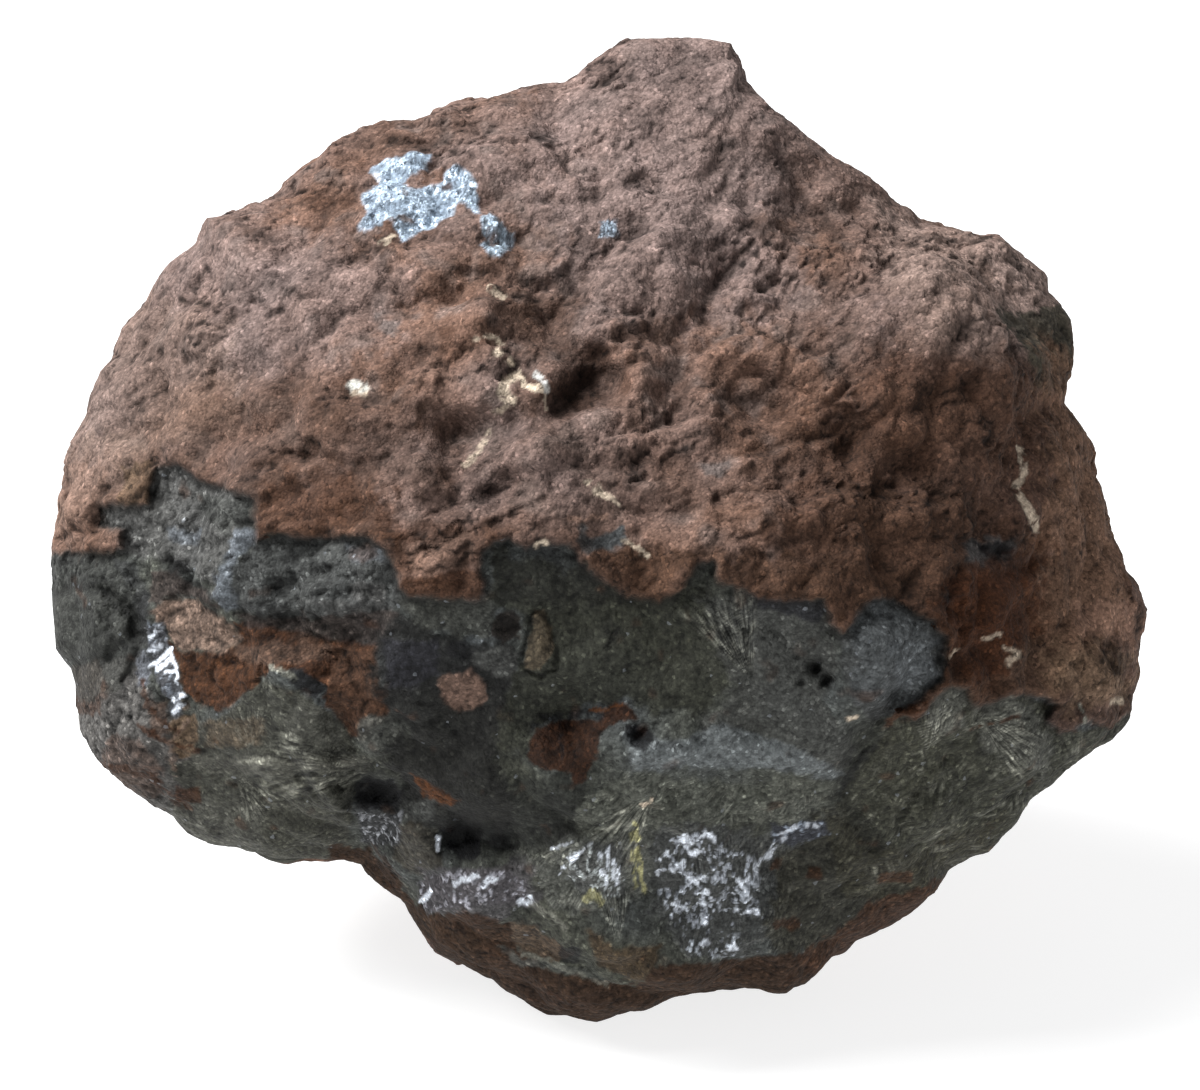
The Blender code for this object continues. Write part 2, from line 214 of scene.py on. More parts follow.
BACK_RELIEF = [
    ([(-52, 22), (-30, 14), (-12, 17)], 4.0, -4.0),
    ([(-12, 17), (2, 6), (4, -12)], 4.0, -3.4),
    ([(10, 40), (24, 28), (40, 25)], 5.0, -4.2),
    ([(-36, -8), (-24, -24)], 7.0, -4.0),
    ([(24, -6), (42, -12)], 6.0, 3.6),
    ([(-28, 34), (-14, 38)], 6.0, 3.0),
]

# Finer relief that only the looks have: small hollows, grooves and beads.
FINE_RELIEF = [
    ([(40.8, -20.4), (37.5, -25), (34.5, -30), (33.6, -34.6), (38, -41)], 1.2, -1.5),
    ([(-63.5, -4), (-62.6, -8.2), (-63.6, -12.5), (-66.5, -15)], 0.9, -1.3),
    ([(-71.5, -4.6), (-68.5, -4.2), (-66.3, -7), (-66.8, -11), (-69.5, -13)], 0.8, -0.7),
    ([(-58.5, -2.4), (-56.2, -4.6)], 1.1, -1.8),
    ([(-41, -31.5), (-38.8, -33.6), (-36.5, -32.8), (-34.9, -33)], 0.45, -0.7),
    ([(-57, -29.2), (-45, -29.7), (-33.5, -29.6)], 0.7, 0.8),
    ([(-56.2, -24), (-58.3, -27), (-57.6, -31)], 0.5, 0.6),
    ([(-62.5, -24.5), (-58.3, -27), (-54.5, -28)], 0.5, 0.6),
    ([(-62, -18.5), (-61.5, -22), (-57.5, -25.5)], 0.5, 0.5),
    ([(-7.6, -8.2), (-6.5, -10.5), (-5.3, -14.3), (-5.7, -16.8), (-7.6, -17.9), (-9.6, -17), (-10.5, -15),
      (-9.3, -12.5), (-9, -9.8), (-7.6, -8.2)], 0.4, -0.7),
    ([(-7.8, -14.6)], 1.7, 0.9),
    ([(-12.2, -11)], 1.6, -1.2),
    ([(5.8, -26)], 1.2, -1.8),
    ([(30.2, -16.7)], 0.9, -1.6),
    ([(31.7, -18.5)], 0.8, -1.4),
    ([(27.9, -18.9)], 0.6, -0.9),
    ([(21.3, -17.5), (20.4, -11.5), (18.2, -6.5)], 0.5, -0.6),
    ([(20, -15.5), (16, -8.5), (14.4, -4.5)], 0.6, -0.7),
    ([(-20.7, -39.8), (-17.8, -39.1)], 1.9, -2.2),
    ([(-16.4, -39.3), (-12.3, -40.2)], 1.1, -1.4),
    ([(-31.6, -31.5), (-28.6, -34.2)], 1.6, -1.6),
    ([(-54.8, -9.6), (-53.8, -9)], 0.5, -0.8),
    ([(-43.9, -5.6), (-43.2, -5.2)], 0.7, -0.9),
    ([(-39.4, -7.2), (-38.2, -6.6)], 0.6, -0.8),
    ([(41.4, -37.4), (43.5, -33.8)], 0.5, -1.1),
    ([(16.6, 6.1)], 0.9, -1.3),
    ([(54.8, -1)], 0.9, -1.2),
    ([(-63, 18.8)], 0.9, -1.2),
    ([(-64.1, 11)], 0.9, -1.2),
    ([(-67, 7.7)], 1.0, -1.2),
    ([(-32.5, 21.7)], 0.9, 1.0),
    ([(2.6, 23.2), (-1.5, 22.4), (-4.6, 19.6)], 1.5, -1.6),
    ([(24.5, 53.5), (29, 46), (33, 42.5)], 0.9, -1.2),
    ([(18.8, 38.7), (15.4, 34.5), (14.8, 31)], 0.8, -1.0),
    ([(50.8, -1.6), (53.6, -0.4), (57.6, 0.2)], 0.9, 0.9),
    ([(51.5, -3.6), (55, -3.2), (58.8, -1.4)], 0.9, 0.8),
    ([(-76, -6.8), (-71, -5.6), (-66.3, -6.6), (-63.3, -10), (-62.6, -14.5), (-64.5, -18.4)], 0.7, -1.5),
    ([(-72.5, -8.4), (-68, -9.3), (-65.9, -12.3), (-67, -15.2), (-70.5, -15.8)], 0.45, -0.6),
    ([(-70.5, -10.6), (-68.3, -11.8), (-69.2, -13.4)], 0.4, -0.4),
    ([(29.76, -16.7)], 1.15, -1.9),
    ([(31.5, -18.6)], 0.9, -1.7),
    ([(27.6, -15.2)], 0.6, -0.7),
]

# Ledges: along each line the ground on its left falls by a drop within a width, and climbs back over a
# distance.
LEDGES = [
    ([(-24.5, -6.1), (-27.2, -7.7), (-36.7, -9.4), (-46.2, -9.1), (-52.3, -7.5),
      (-56.4, -4.1)], 1.9, 0.5, 4.0),
    ([(33.3, -32.2), (21.7, -31.9), (12.2, -30.3), (2.7, -30.6), (-1.4, -33.3)], 1.8, 0.7, 6.0),
    ([(5.6, -21.0), (-1.4, -22.0), (-7.5, -22.8), (-9.8, -26)], 1.4, 0.35, 3.5),
    ([(-33.4, -23.5), (-33, -30), (-33.6, -36), (-34.9, -42)], 2.0, 0.6, 4.0),
    ([(-10.8, -45), (-15, -43.6), (-20, -44.6), (-24, -46.2)], 0.9, 0.5, 3.0),
    ([(20, 4), (9, 6.5), (-2, 9.5), (-9, 8.5)], 1.0, 0.7, 4.0),
    ([(44, 16), (33, 20), (22, 24.5)], 1.3, 0.8, 5.0),
    ([(9, 27), (-2, 27.6), (-9.5, 30)], 1.2, 0.7, 4.0),
    ([(-14, 36), (-25, 33.5), (-36, 30)], 1.0, 0.8, 5.0),
    ([(-24, 12), (-36, 11.5), (-47, 14)], 1.1, 0.8, 4.0),
    ([(42, 2), (34, 1), (25, 3)], 1.0, 0.7, 4.0),
]

# Colours, as shares of red, green and blue light sent back.
PALE_CRUST = (0.1633, 0.1201, 0.1095)
GREY_CRUST = (0.1175, 0.0899, 0.0797)
BROWN_CRUST = (0.117, 0.0677, 0.049)
DARK_CRUST = (0.048, 0.024, 0.014)
RUST = (0.0375, 0.0142, 0.0054)
ORANGE_RUST = (0.081, 0.0289, 0.0088)
TAN = (0.126, 0.0864, 0.0666)
PINK = (0.1612, 0.0992, 0.0744)
CREAM = (0.520, 0.430, 0.330)
BLUE_GREY = (0.054, 0.0598, 0.0619)
GREEN_GREY = (0.0413, 0.0428, 0.033)
MOSS_GREY = (0.0316, 0.0316, 0.0219)
PALE_GREY = (0.0607, 0.0599, 0.0574)
MID_GREY = (0.0374, 0.039, 0.0382)
DIM_GREY = (0.0218, 0.0238, 0.0211)
BLUISH = (0.0966, 0.1086, 0.1233)
OLIVE = (0.0338, 0.0338, 0.026)
OLIVE_GREY = (0.0224, 0.0231, 0.0164)
UMBER = (0.0336, 0.0252, 0.0222)
DARK_RUST = (0.048, 0.0248, 0.015)
OCHRE = (0.104, 0.068, 0.04)
BROWN_RIM = (0.0327, 0.0173, 0.0099)
DARK_BLUE = (0.030, 0.040, 0.060)
# A painted glint: the highlight of a crystal face laid into the colour.
GLINT = (0.75, 0.80, 0.88)
DARK_ORE = (0.0070, 0.0068, 0.0062)
VIOLET_ORE = (0.0134, 0.0134, 0.0172)
BLACK = (0.005, 0.005, 0.006)
SKY_BLUE = (0.460, 0.560, 0.670)
PALE_FIBRE = (0.18, 0.18, 0.15)
YELLOW_FIBRE = (0.300, 0.285, 0.140)

REDDISH_CRUST = (0.075, 0.034, 0.020)
# Painted shade for the crust's deep hollow.
HOLLOW_PAINTED_SHADE = (0.026, 0.012, 0.007)
SHOULDER_PINK = (0.300, 0.220, 0.190)
WARM_CRUST = (0.100, 0.060, 0.042)
RIGHT_EDGE_CRUST = (0.140, 0.080, 0.052)
DEEP_RED_CRUST = (0.042, 0.014, 0.005)
PINKISH_CRUST = (0.24, 0.14, 0.10)
CREAMY_CRUST = (0.20, 0.135, 0.085)
SHOULDER_BROWN = (0.080, 0.046, 0.032)
DISC_DARK = (0.025, 0.026, 0.024)
LOWER_LEFT_GREY = (0.065, 0.061, 0.057)
LADDER_GREY = (0.080, 0.085, 0.100)
RUSTY_GREY = (0.070, 0.044, 0.033)
LOBE_GREEN = (0.038, 0.038, 0.030)
LOBE_PALE = (0.055, 0.055, 0.046)
LOBE_RIDGE = (0.062, 0.061, 0.050)
LOBE_TUFT = (0.062, 0.062, 0.052)
NOTCH_GREY = (0.049, 0.050, 0.044)
UNDER_CRUST_GREY = (0.041, 0.042, 0.036)
CENTRE_GREY = (0.046, 0.047, 0.044)
PILLAR_GREY = (0.050, 0.052, 0.048)
BROWNISH_ORE = (0.037, 0.031, 0.022)
LOW_CENTRE_DARK = (0.017, 0.018, 0.015)
FLAKE_BED = (0.056, 0.053, 0.056)
# Painted shade for a pit of the ore.
PIT_PAINTED_SHADE = (0.012, 0.009, 0.007)
PEBBLE_BROWN = (0.059, 0.046, 0.030)
PATCH_RUST = (0.024, 0.0085, 0.003)
FAN_GREY = (0.047, 0.048, 0.044)
BOWL_GREEN = (0.064, 0.067, 0.055)
BAND_GREY = (0.105, 0.115, 0.117)
STRAW_GREY = (0.081, 0.084, 0.074)
SPARKLE_BED = (0.046, 0.048, 0.047)
LOW_RIGHT_OLIVE = (0.028, 0.026, 0.017)
RIM_OCHRE = (0.063, 0.041, 0.026)
RIM_RUST = (0.046, 0.030, 0.016)
RIM_GREY = (0.067, 0.070, 0.063)
KNOB_GREY = (0.082, 0.089, 0.092)
DISC_GREY = (0.034, 0.035, 0.031)
TUFT_GREY = (0.090, 0.091, 0.080)
SHEAF_GREY = (0.084, 0.085, 0.075)
MILKY_VEIN = (0.50, 0.50, 0.48)
MILKY_BEAD = (0.50, 0.50, 0.46)

# The colours that are sandy like the crust where they lie on the ore.
BROWN_KINDS = (RUST, ORANGE_RUST, TAN, PINK, DARK_RUST, UMBER, OCHRE, BROWN_RIM)

# Areas of colour on the crust: closed edge, colour, share, softness of the edge.
CRUST_AREAS = [
    # Paler at the top left: partly painted light on the side that faces the lamp, partly the crust's own
    # paler colour.
    ([(-80, 40), (-52, 45), (-24, 38), (-28, 27), (-46, 24), (-60, 18), (-80, 4)], PALE_CRUST, 0.4, 6.0),
    ([(-60, 22), (-40, 24), (-26, 22), (-20, 8), (-40, 2), (-58, 10)], DARK_RUST, 0.42, 5.0),
    ([(40, 28), (62, 24), (64, 4), (60, -18), (50, -20), (30, -8), (24, 2),
      (30, 16)], REDDISH_CRUST, 0.6, 4.0),
    # Darker at the lower right, under a ledge: partly painted shade, partly the crust's own darker colour.
    ([(34, 9), (50, 8), (66, -4), (66, -20), (48, -20), (34, -5)], DARK_CRUST, 0.5, 3.0),
    ([(-6, 50), (24, 52), (30, 32), (-4, 27)], PALE_CRUST, 0.6, 6.0),
    # Painted shade in the hollows: down the gully, in its deep hollow, under the vein loop, under a ledge and
    # in the small hollow near the top.
    ([(-10.5, 34.5), (-2, 34), (-3, 26.5), (-10.5, 26)], DARK_CRUST, 0.5, 1.6),
    ([(-5.7, 27), (2.2, 27.5), (1.0, 20.5), (-5, 17.5)], HOLLOW_PAINTED_SHADE, 0.65, 2.0),
    ([(-11, 22.8), (-7.6, 22.8), (-7.4, 17.5), (-11, 17.5)], DARK_CRUST, 0.5, 1.2),
    ([(1.6, 31), (10.9, 30.6), (11, 27.6), (2, 27.6)], DARK_CRUST, 0.45, 1.2),
    ([(20.5, 46), (27.2, 44.5), (27, 41.5), (21.5, 41.8)], DARK_CRUST, 0.55, 1.2),
    ([(38, 47), (64, 38), (64, 24), (44, 28)], SHOULDER_PINK, 0.7, 4.0),
    ([(-68, 36), (-50, 30), (-49, 17), (-60, 12), (-72, 16)], TAN, 0.35, 4.0),
    ([(-10, 72), (24, 72), (34, 50), (12, 40), (-10, 44)], PALE_CRUST, 0.5, 6.0),
    ([(-72, 16), (-62, 15), (-58, 9), (-66, 4), (-74, 2)], TAN, 0.45, 2.0),
    # Darker at the right and in the low middle, the sides turned from the lamp: partly painted shade, partly
    # the crust's own darker colour.
    ([(28, 32), (66, 38), (74, 8), (28, 8)], DARK_CRUST, 0.3, 6.0),
    ([(-34, 21), (-12, 16), (10, 20), (22, 10), (20, -4), (-34, 2)], DARK_CRUST, 0.22, 5.0),
    # Painted shadow under a ledge at the middle left.
    ([(-58, 21), (-40, 22), (-30, 14), (-40, 9), (-56, 11)], DARK_CRUST, 0.25, 4.0),
    # Darker at the right, turned from the lamp and under its ledges: partly painted shade, partly the crust's
    # own darker colour.
    ([(20, 14), (66, 30), (80, 0), (80, -30), (40, -30), (22, -8)], DARK_CRUST, 0.5, 5.0),
    ([(33, 8), (50, 6), (52, -5), (30, -9), (24, -2)], DARK_CRUST, 0.55, 3.0),
    ([(47, -8), (62, -6), (68, -12), (64, -22), (48, -20)], DARK_CRUST, 0.45, 3.0),
    ([(4, -2), (14, 0), (32, -4), (32, -11), (20, -8), (8, -9)], DARK_CRUST, 0.5, 2.0),
    ([(-28, 3), (-12, 2), (-14, -3), (-24, -5), (-29, -3)], RUST, 0.5, 2.0),
    ([(0, -1), (9, -3), (8, -7), (3, -6)], RUST, 0.6, 1.0),
    ([(-48, 12), (-30, 10), (-28, 4), (-46, 4)], DARK_CRUST, 0.3, 3.0),
    ([(-9, -16), (-9, 26), (4, 30), (8, 18), (2, 6)], DARK_CRUST, 0.15, 4.0),
    ([(55.5, 33), (60.5, 31.5), (64.5, 33), (66, 26), (64, 19.5), (60.5, 22), (58.5, 26),
      (57, 30)], MOSS_GREY, 0.85, 0.6),
    ([(-33.6, 22.6), (-31.6, 22.6), (-31.3, 20.9), (-33.3, 20.7)], CREAM, 0.7, 0.3),
    ([(50.6, 0.3), (57.8, 0.9), (58.4, -2.2), (53, -3.8), (50.4, -2)], BLUE_GREY, 0.7, 0.7),
    ([(51.8, 0.2), (57, 0.3), (57.4, -1.2), (53, -1.8)], BLACK, 0.85, 0.4),
    ([(-3, 2.2), (3, 1.6), (3.2, -1.2), (-2.6, -1.4)], BLUE_GREY, 0.75, 0.6),
    ([(67.5, -7.5), (73.5, -8), (73.5, -12), (68.5, -12.5)], PINK, 0.6, 1.2),
    ([(-30, 31.8), (-26.5, 31.5), (-26.5, 28.8), (-29.5, 28.6)], BLUE_GREY, 0.5, 1.0),
    ([(14.8, 11.3), (18.4, 11), (18.2, 9.2), (15, 9.2)], BLUE_GREY, 0.5, 0.8),
    ([(-77.4, 10.2), (-67.9, 11.5), (-64.5, 6.1), (-65.2, -0.7), (-77.4, -1)], PINK, 0.5, 1),
    ([(-65.2, 10.2), (-61.1, 11.3), (-60.7, 5.4), (-64.5, 5.4)], OCHRE, 0.7, 0.6),
    ([(-46.2, 7.5), (-35.3, 10.2), (-27.2, 6.1), (-27.2, 0), (-31.2, 1.6), (-46.2, 1)], RUST, 0.55, 2),
    ([(-26.5, 0), (-17.7, 1.4), (-16.3, -2), (-19, -4.5), (-25.1, -4.8)], PINK, 0.6, 0.8),
    ([(-26.9, -4.5), (-16.3, -4.1), (-15.6, -7.7), (-25.8, -7.7)], RUST, 0.8, 0.8),
    ([(-2, -2), (5.4, -0.4), (13.6, -1.4), (10.9, -6.1), (7.5, -8.2), (2.7, -7.2)], DARK_RUST, 0.85, 0.8),
    ([(-3, 1.4), (3.8, 1.6), (4.1, -0.4), (0, -1.4), (-2.7, -1)], BLUE_GREY, 0.8, 0.5),
    ([(15.6, -2), (21.7, -1.4), (35.3, -2), (45.5, -2.7), (46.9, -7.5), (40.8, -7.2), (35.3, -9.1),
      (33.3, -12.1), (31.2, -7.5), (23.1, -7.7), (17, -5.7)], DARK_RUST, 0.75, 1.5),
    ([(46.2, -8.2), (55.7, -6.1), (65.9, -7.5), (65.2, -13.6), (62.5, -21.7), (52.3, -22.4), (47.6, -20.4),
      (46.9, -12.9)], DARK_RUST, 0.85, 1.5),
    ([(54.3, -13.6), (72, -12.9), (74, -21.7), (62.5, -22.1), (55.7, -19.7)], WARM_CRUST, 0.5, 2),
    ([(66.6, -7.5), (74.7, -6.1), (76.1, -12.9), (72, -14.9), (67.3, -14.3)], PINK, 0.5, 1.2),
    ([(61, 28), (70, 24), (75, 2), (72, -12), (62, -18), (58, -6), (62, 8)], RIGHT_EDGE_CRUST, 0.8, 3.0),
    ([(48, -4), (62, 0), (60, -14), (50, -20), (44, -12)], DEEP_RED_CRUST, 0.8, 3.0),
    ([(65, -7.5), (74.5, -8), (74.5, -12.5), (66, -12)], PINKISH_CRUST, 0.5, 2.0),
    ([(60.5, -14.5), (67, -13.5), (73.5, -15), (73, -21), (66, -22), (62, -20)], CREAMY_CRUST, 0.4, 3.0),
    ([(28, 52), (50, 46), (56, 36), (48, 26), (30, 30)], SHOULDER_BROWN, 0.35, 5.0),
]

# Areas of colour on the ore.
ORE_AREAS = [
    ([(-68.2, 5.4), (-61.1, 10.5), (-57.1, 10.9), (-53.8, 8.6), (-46.7, 6.4), (-46.7, 0.7), (-51, -2),
      (-52.3, -7.5), (-55.7, -4.1), (-61.1, -2), (-65.2, -0.4), (-68.2, 2.6)], PALE_GREY, 0.85, 1),
    ([(-54.3, 6.8), (-47.3, 6.1), (-46.7, 3.4), (-51, 1.4), (-53.7, 3.4)], DIM_GREY, 0.6, 0.8),
    ([(-59.1, 2.3), (-54.3, 2), (-54.6, 0), (-58.4, 0.3)], BLUISH, 0.6, 0.6),
    # A bluish column down the grey: partly a painted highlight, partly a bluish ore.
    ([(-49.6, 2.3), (-46.7, 2), (-46.7, 0), (-49.2, -2), (-50, -5.4), (-48.9, -8.2), (-50.5, -9.1),
      (-52.3, -7.5), (-52.4, -4.8), (-51.1, -2)], BLUISH, 0.8, 0.6),
    ([(-46.7, 0.4), (-42.1, 1.6), (-31, 1.2), (-27.2, -3.4), (-26.8, -7.5), (-27.9, -9.1), (-34, -9.5),
      (-40.8, -10.5), (-48.9, -9.1), (-50, -5.4), (-48.9, -2)], MID_GREY, 0.9, 0.7),
    ([(-40.8, -7.5), (-34, -9.9), (-27.9, -9.1), (-29.2, -7.5), (-34.6, -7.7)], PALE_GREY, 0.6, 0.6),
    ([(-34, -5.2), (-29.2, -5.2), (-28.8, -7.7), (-33.3, -7.5)], PALE_GREY, 0.8, 0.5),
    ([(-34.6, 0), (-29.2, -0.7), (-28.3, -2.3), (-33.3, -2.3)], BLUISH, 0.4, 0.7),
    ([(-77.4, -1), (-66.3, -1.1), (-64.1, -2.9), (-63.3, -5.4), (-64.3, -10.9), (-65.2, -14.3),
      (-67.4, -15.9), (-70.7, -16.7), (-77.4, -12.9)], DISC_DARK, 0.9, 0.5),
    ([(-66.3, -2), (-63.2, -2), (-61.4, -7.5), (-61.8, -14.3), (-64.1, -16.3), (-65.5, -14.9),
      (-64.3, -10.9), (-63.3, -6.1)], MID_GREY, 0.8, 0.5),
    ([(-62.4, -6.1), (-61.1, -6.1), (-61.4, -12.9), (-62.8, -14.3)], BLACK, 0.7, 0.4),
    ([(-59.1, -1.5), (-56.4, -2.3), (-53.5, -6.1), (-55.7, -4.1), (-58.4, -3.7)], BLACK, 0.6, 0.5),
    ([(-61.1, -3.7), (-57.7, -3.7), (-53.7, -6.1), (-51.4, -9.1), (-55, -7.2), (-58.4, -6.9), (-60.1, -8.3),
      (-61.1, -7.5)], UMBER, 0.85, 0.5),
    ([(-59.1, -12.9), (-56.4, -14.5), (-51, -14.5), (-48.9, -12.9), (-50, -10.5), (-46.2, -10.5),
      (-40.8, -11.8), (-34.6, -12.9), (-30.2, -13.6), (-29.9, -19.7), (-28.3, -22.7), (-31.9, -26.5),
      (-34, -25.8), (-35.6, -22.7), (-37.8, -21.1), (-37.2, -19.7), (-40.8, -17.3), (-44.6, -16.6),
      (-45.9, -18.3), (-48.9, -21.1), (-51.4, -22.7), (-54.3, -21.9), (-56.7, -19.7),
      (-57.3, -16.3)], RUST, 0.95, 0.6),
    ([(-61.1, -9.1), (-60.1, -8.3), (-58.4, -7.1), (-54.8, -7.5), (-52.4, -9.1), (-50.3, -10.9),
      (-48.9, -12.9), (-51, -14.5), (-54.3, -14.3), (-56.4, -14.5), (-58.2, -12.9),
      (-59.4, -10.5)], TAN, 0.95, 0.5),
    ([(-49.6, -13.6), (-40.8, -12.9), (-35.3, -14.3), (-38, -16.3), (-48.9, -16.3)], TAN, 0.35, 1),
    ([(-36.7, -14.3), (-30.2, -14), (-29.2, -22.4), (-32.3, -26.2), (-34.6, -24.5),
      (-36.7, -21.1)], DARK_RUST, 0.9, 0.8),
    ([(-49.5, -9.1), (-40.8, -10.2), (-27.2, -8.8), (-26.9, -11.3), (-29.2, -13.6), (-36.7, -13.2),
      (-42.1, -11.5), (-47.6, -11.3)], UMBER, 0.85, 0.6),
    ([(-41.8, -16.7), (-40.2, -16.7), (-37, -20), (-38.6, -20.8), (-40.8, -19.7),
      (-42.1, -18.3)], BLACK, 0.9, 0.35),
    ([(-70.7, -16.7), (-63.9, -14.9), (-61.1, -19.7), (-59.8, -21.1), (-56.4, -23.8), (-53.7, -26.5),
      (-54.3, -33.3), (-57.7, -36.7), (-67.9, -33.3), (-72, -23.8)], LOWER_LEFT_GREY, 0.9, 0.6),
    ([(-72, -16.7), (-67.9, -15.6), (-66.8, -19.7), (-68.2, -23.1), (-72, -23.1)], RUST, 0.6, 0.8),
    ([(-63.3, -15.6), (-61.7, -14.3), (-60.9, -15.9), (-61.1, -18.9),
      (-62.9, -19.2)], LADDER_GREY, 0.7, 0.4),
    ([(-66.3, -25.8), (-62.5, -26.5), (-59.8, -30.6), (-59.8, -34.6), (-66.6, -33.3),
      (-67.9, -27.9)], RUSTY_GREY, 0.6, 0.7),
    ([(-61.1, -21.1), (-59.1, -21.1), (-58.7, -25.8), (-60.9, -25.8)], DARK_RUST, 0.6, 0.5),
    ([(-58.4, -23.5), (-54.9, -23.1), (-54.3, -25.8), (-54.9, -28.9), (-57.3, -29.2),
      (-58.4, -26.5)], OCHRE, 0.8, 0.5),
    ([(-54.9, -28.9), (-54.3, -25.8), (-53.7, -24.5), (-50, -22.7), (-48.2, -20.4), (-45.9, -18.6),
      (-42.1, -19.4), (-38.6, -21.3), (-36.4, -22.7), (-34.2, -25.1), (-32.9, -28.5), (-32.3, -30.8),
      (-33.2, -34.6), (-34, -38.7), (-33.7, -44.2), (-54.3, -44.2), (-59.1, -38.7), (-57.1, -34.6),
      (-54.9, -34), (-57.3, -32.6), (-58.4, -29.9)], LOBE_GREEN, 0.95, 0.5),
    ([(-42.1, -21.7), (-36, -23.1), (-33.7, -29.2), (-34.6, -31.2), (-40.8, -30.6),
      (-42.8, -25.8)], LOBE_PALE, 0.8, 1),
    # Lighter along the lobe's ridge: a painted highlight.
    ([(-55.7, -28.5), (-31, -28.8), (-31, -30.8), (-46.2, -31.1), (-55, -30.8)], LOBE_RIDGE, 0.7, 0.5),
    ([(-46.5, -31.7), (-36.7, -31.9), (-37.4, -44.2), (-45.5, -44.2), (-45.9, -37.4)], OLIVE, 0.75, 1),
    ([(-58.4, -34.6), (-53.7, -34.6), (-45.9, -35.3), (-45.9, -42.1), (-53, -42.8),
      (-58.4, -39.4)], LOBE_TUFT, 0.75, 0.8),
    ([(-53.7, -24), (-45.9, -23.5), (-45.9, -27.2), (-53.3, -27.6)], OCHRE, 0.35, 0.8),
    ([(-57.7, -33), (-54.1, -33), (-54.3, -35.1), (-57.3, -34.9)], RUST, 0.8, 0.4),
    ([(-32.9, -24.5), (-31, -23.2), (-27.4, -23.5), (-26.5, -26.8), (-29.2, -27.9),
      (-32.3, -26.8)], NOTCH_GREY, 0.9, 0.5),
    ([(-29.9, -12.9), (-27.2, -9.1), (-21.7, -11.5), (-16.3, -12.9), (-10.2, -14.3), (-10.9, -21.1),
      (-13.6, -29.2), (-9.5, -34.6), (0, -34.6), (-2.7, -41.4), (-21.7, -38.7), (-26.5, -37.4),
      (-26.6, -31.9), (-29.9, -28.5), (-26.5, -26.5), (-28.5, -22.7), (-29.9, -19.7)], DARK_ORE, 0.9, 1.2),
    # Painted shade: black in the deep pocket of the lobe.
    ([(-33.2, -32.2), (-31.5, -31.5), (-27.9, -31.7), (-26.6, -33.3), (-26.9, -36.3), (-29.2, -35.7),
      (-31.2, -36.3), (-33, -35.7)], BLACK, 0.95, 0.4),
    ([(-27.2, -7.5), (-16, -7.7), (-14.3, -5.4), (-13.6, -8.8), (-14.3, -12.9), (-21.7, -11.8),
      (-26.6, -9.5)], UNDER_CRUST_GREY, 0.85, 0.8),
    ([(-29.2, -12.9), (-21.7, -12.9), (-21.7, -17.3), (-25.5, -19.7),
      (-28.5, -19.7)], VIOLET_ORE, 0.8, 0.8),
    ([(-20.9, -14.9), (-19.7, -13.2), (-17.7, -12.9), (-16.8, -14.9), (-18.2, -15.9)], BLACK, 0.7, 0.4),
    ([(-17.1, -14.9), (-13.6, -14), (-10.6, -14.5), (-11.4, -17.7), (-13.6, -18.3),
      (-16.6, -16.7)], CENTRE_GREY, 0.85, 0.6),
    ([(-26.6, -34.9), (-22.3, -34.6), (-22.3, -37.4), (-26.5, -37.6)], PILLAR_GREY, 0.85, 0.5),
    ([(-25.3, -31.2), (-23.4, -31.9), (-20.7, -34), (-18.8, -35.1), (-20.7, -35.5),
      (-23.8, -34)], ORANGE_RUST, 0.75, 0.4),
    ([(-27.9, -37.6), (-21.7, -38.7), (-21.1, -43.5), (-23.8, -45.5),
      (-27.9, -42.8)], BROWNISH_ORE, 0.7, 0.8),
    ([(-11.5, -31.9), (0, -30.6), (-1.4, -38.7), (-5.4, -41.4), (-10.9, -41.4)], LOW_CENTRE_DARK, 0.85, 1),
    # Painted shade: black in the deep hollow and its side pocket.
    ([(-21.5, -38.7), (-17.7, -38.2), (-16, -39.1), (-15.8, -41.4), (-16.6, -43.1), (-18.8, -42.8),
      (-20.7, -40.8)], BLACK, 0.97, 0.35),
    ([(-15.8, -39.8), (-12.2, -39.5), (-11.1, -41.2), (-13.6, -41.4)], BLACK, 0.8, 0.4),
    ([(-24.5, -44.4), (-19.7, -43.6), (-8.8, -43.1), (-7.5, -48.9), (-13.6, -51.6),
      (-23.1, -50.3)], FLAKE_BED, 0.8, 1),
    ([(-14.3, 0), (0, -4.1), (6.8, -7.9), (13.6, -4.1), (15.6, -7.5), (19, -18.3), (13.6, -23.1),
      (5.4, -21.7), (1.4, -21.5), (-8.2, -24.5), (-10.2, -29.2), (-13.6, -27.2), (-12.2, -21.1),
      (-9.8, -15.6), (-9.9, -10.2), (-13.9, -7.5)], OLIVE_GREY, 0.9, 1.2),
    ([(-14.3, 0), (-3.4, -0.7), (3.4, -7.2), (-1.4, -8.2), (-13.6, -7.5)], DARK_ORE, 0.5, 1),
    # Painted shade in a pit.
    ([(-14.4, -10.5), (-13.2, -9.1), (-10.9, -9.1), (-10.1, -11.3), (-10.6, -13), (-12.9, -13.3),
      (-14.3, -12.2)], PIT_PAINTED_SHADE, 0.92, 0.35),
    ([(-8.3, -8.8), (-7.3, -8.6), (-6.5, -10.5), (-5.7, -12.9), (-6, -14.9), (-7.3, -16.7), (-9.2, -17),
      (-10.1, -15.6), (-9.5, -13.6), (-8.7, -11.3)], PEBBLE_BROWN, 0.9, 0.3),
    ([(-21.6, -19), (-20.7, -17.7), (-17, -17.3), (-15.2, -18.6), (-14.7, -20.4), (-16, -22.1),
      (-18.8, -22.8), (-20.7, -21.7)], PINK, 0.62, 0.5),
    ([(-9.5, -28.8), (-9.1, -26.8), (-8.2, -25.1), (-6.1, -24), (0, -23.8), (2, -21.7), (4.3, -21.7),
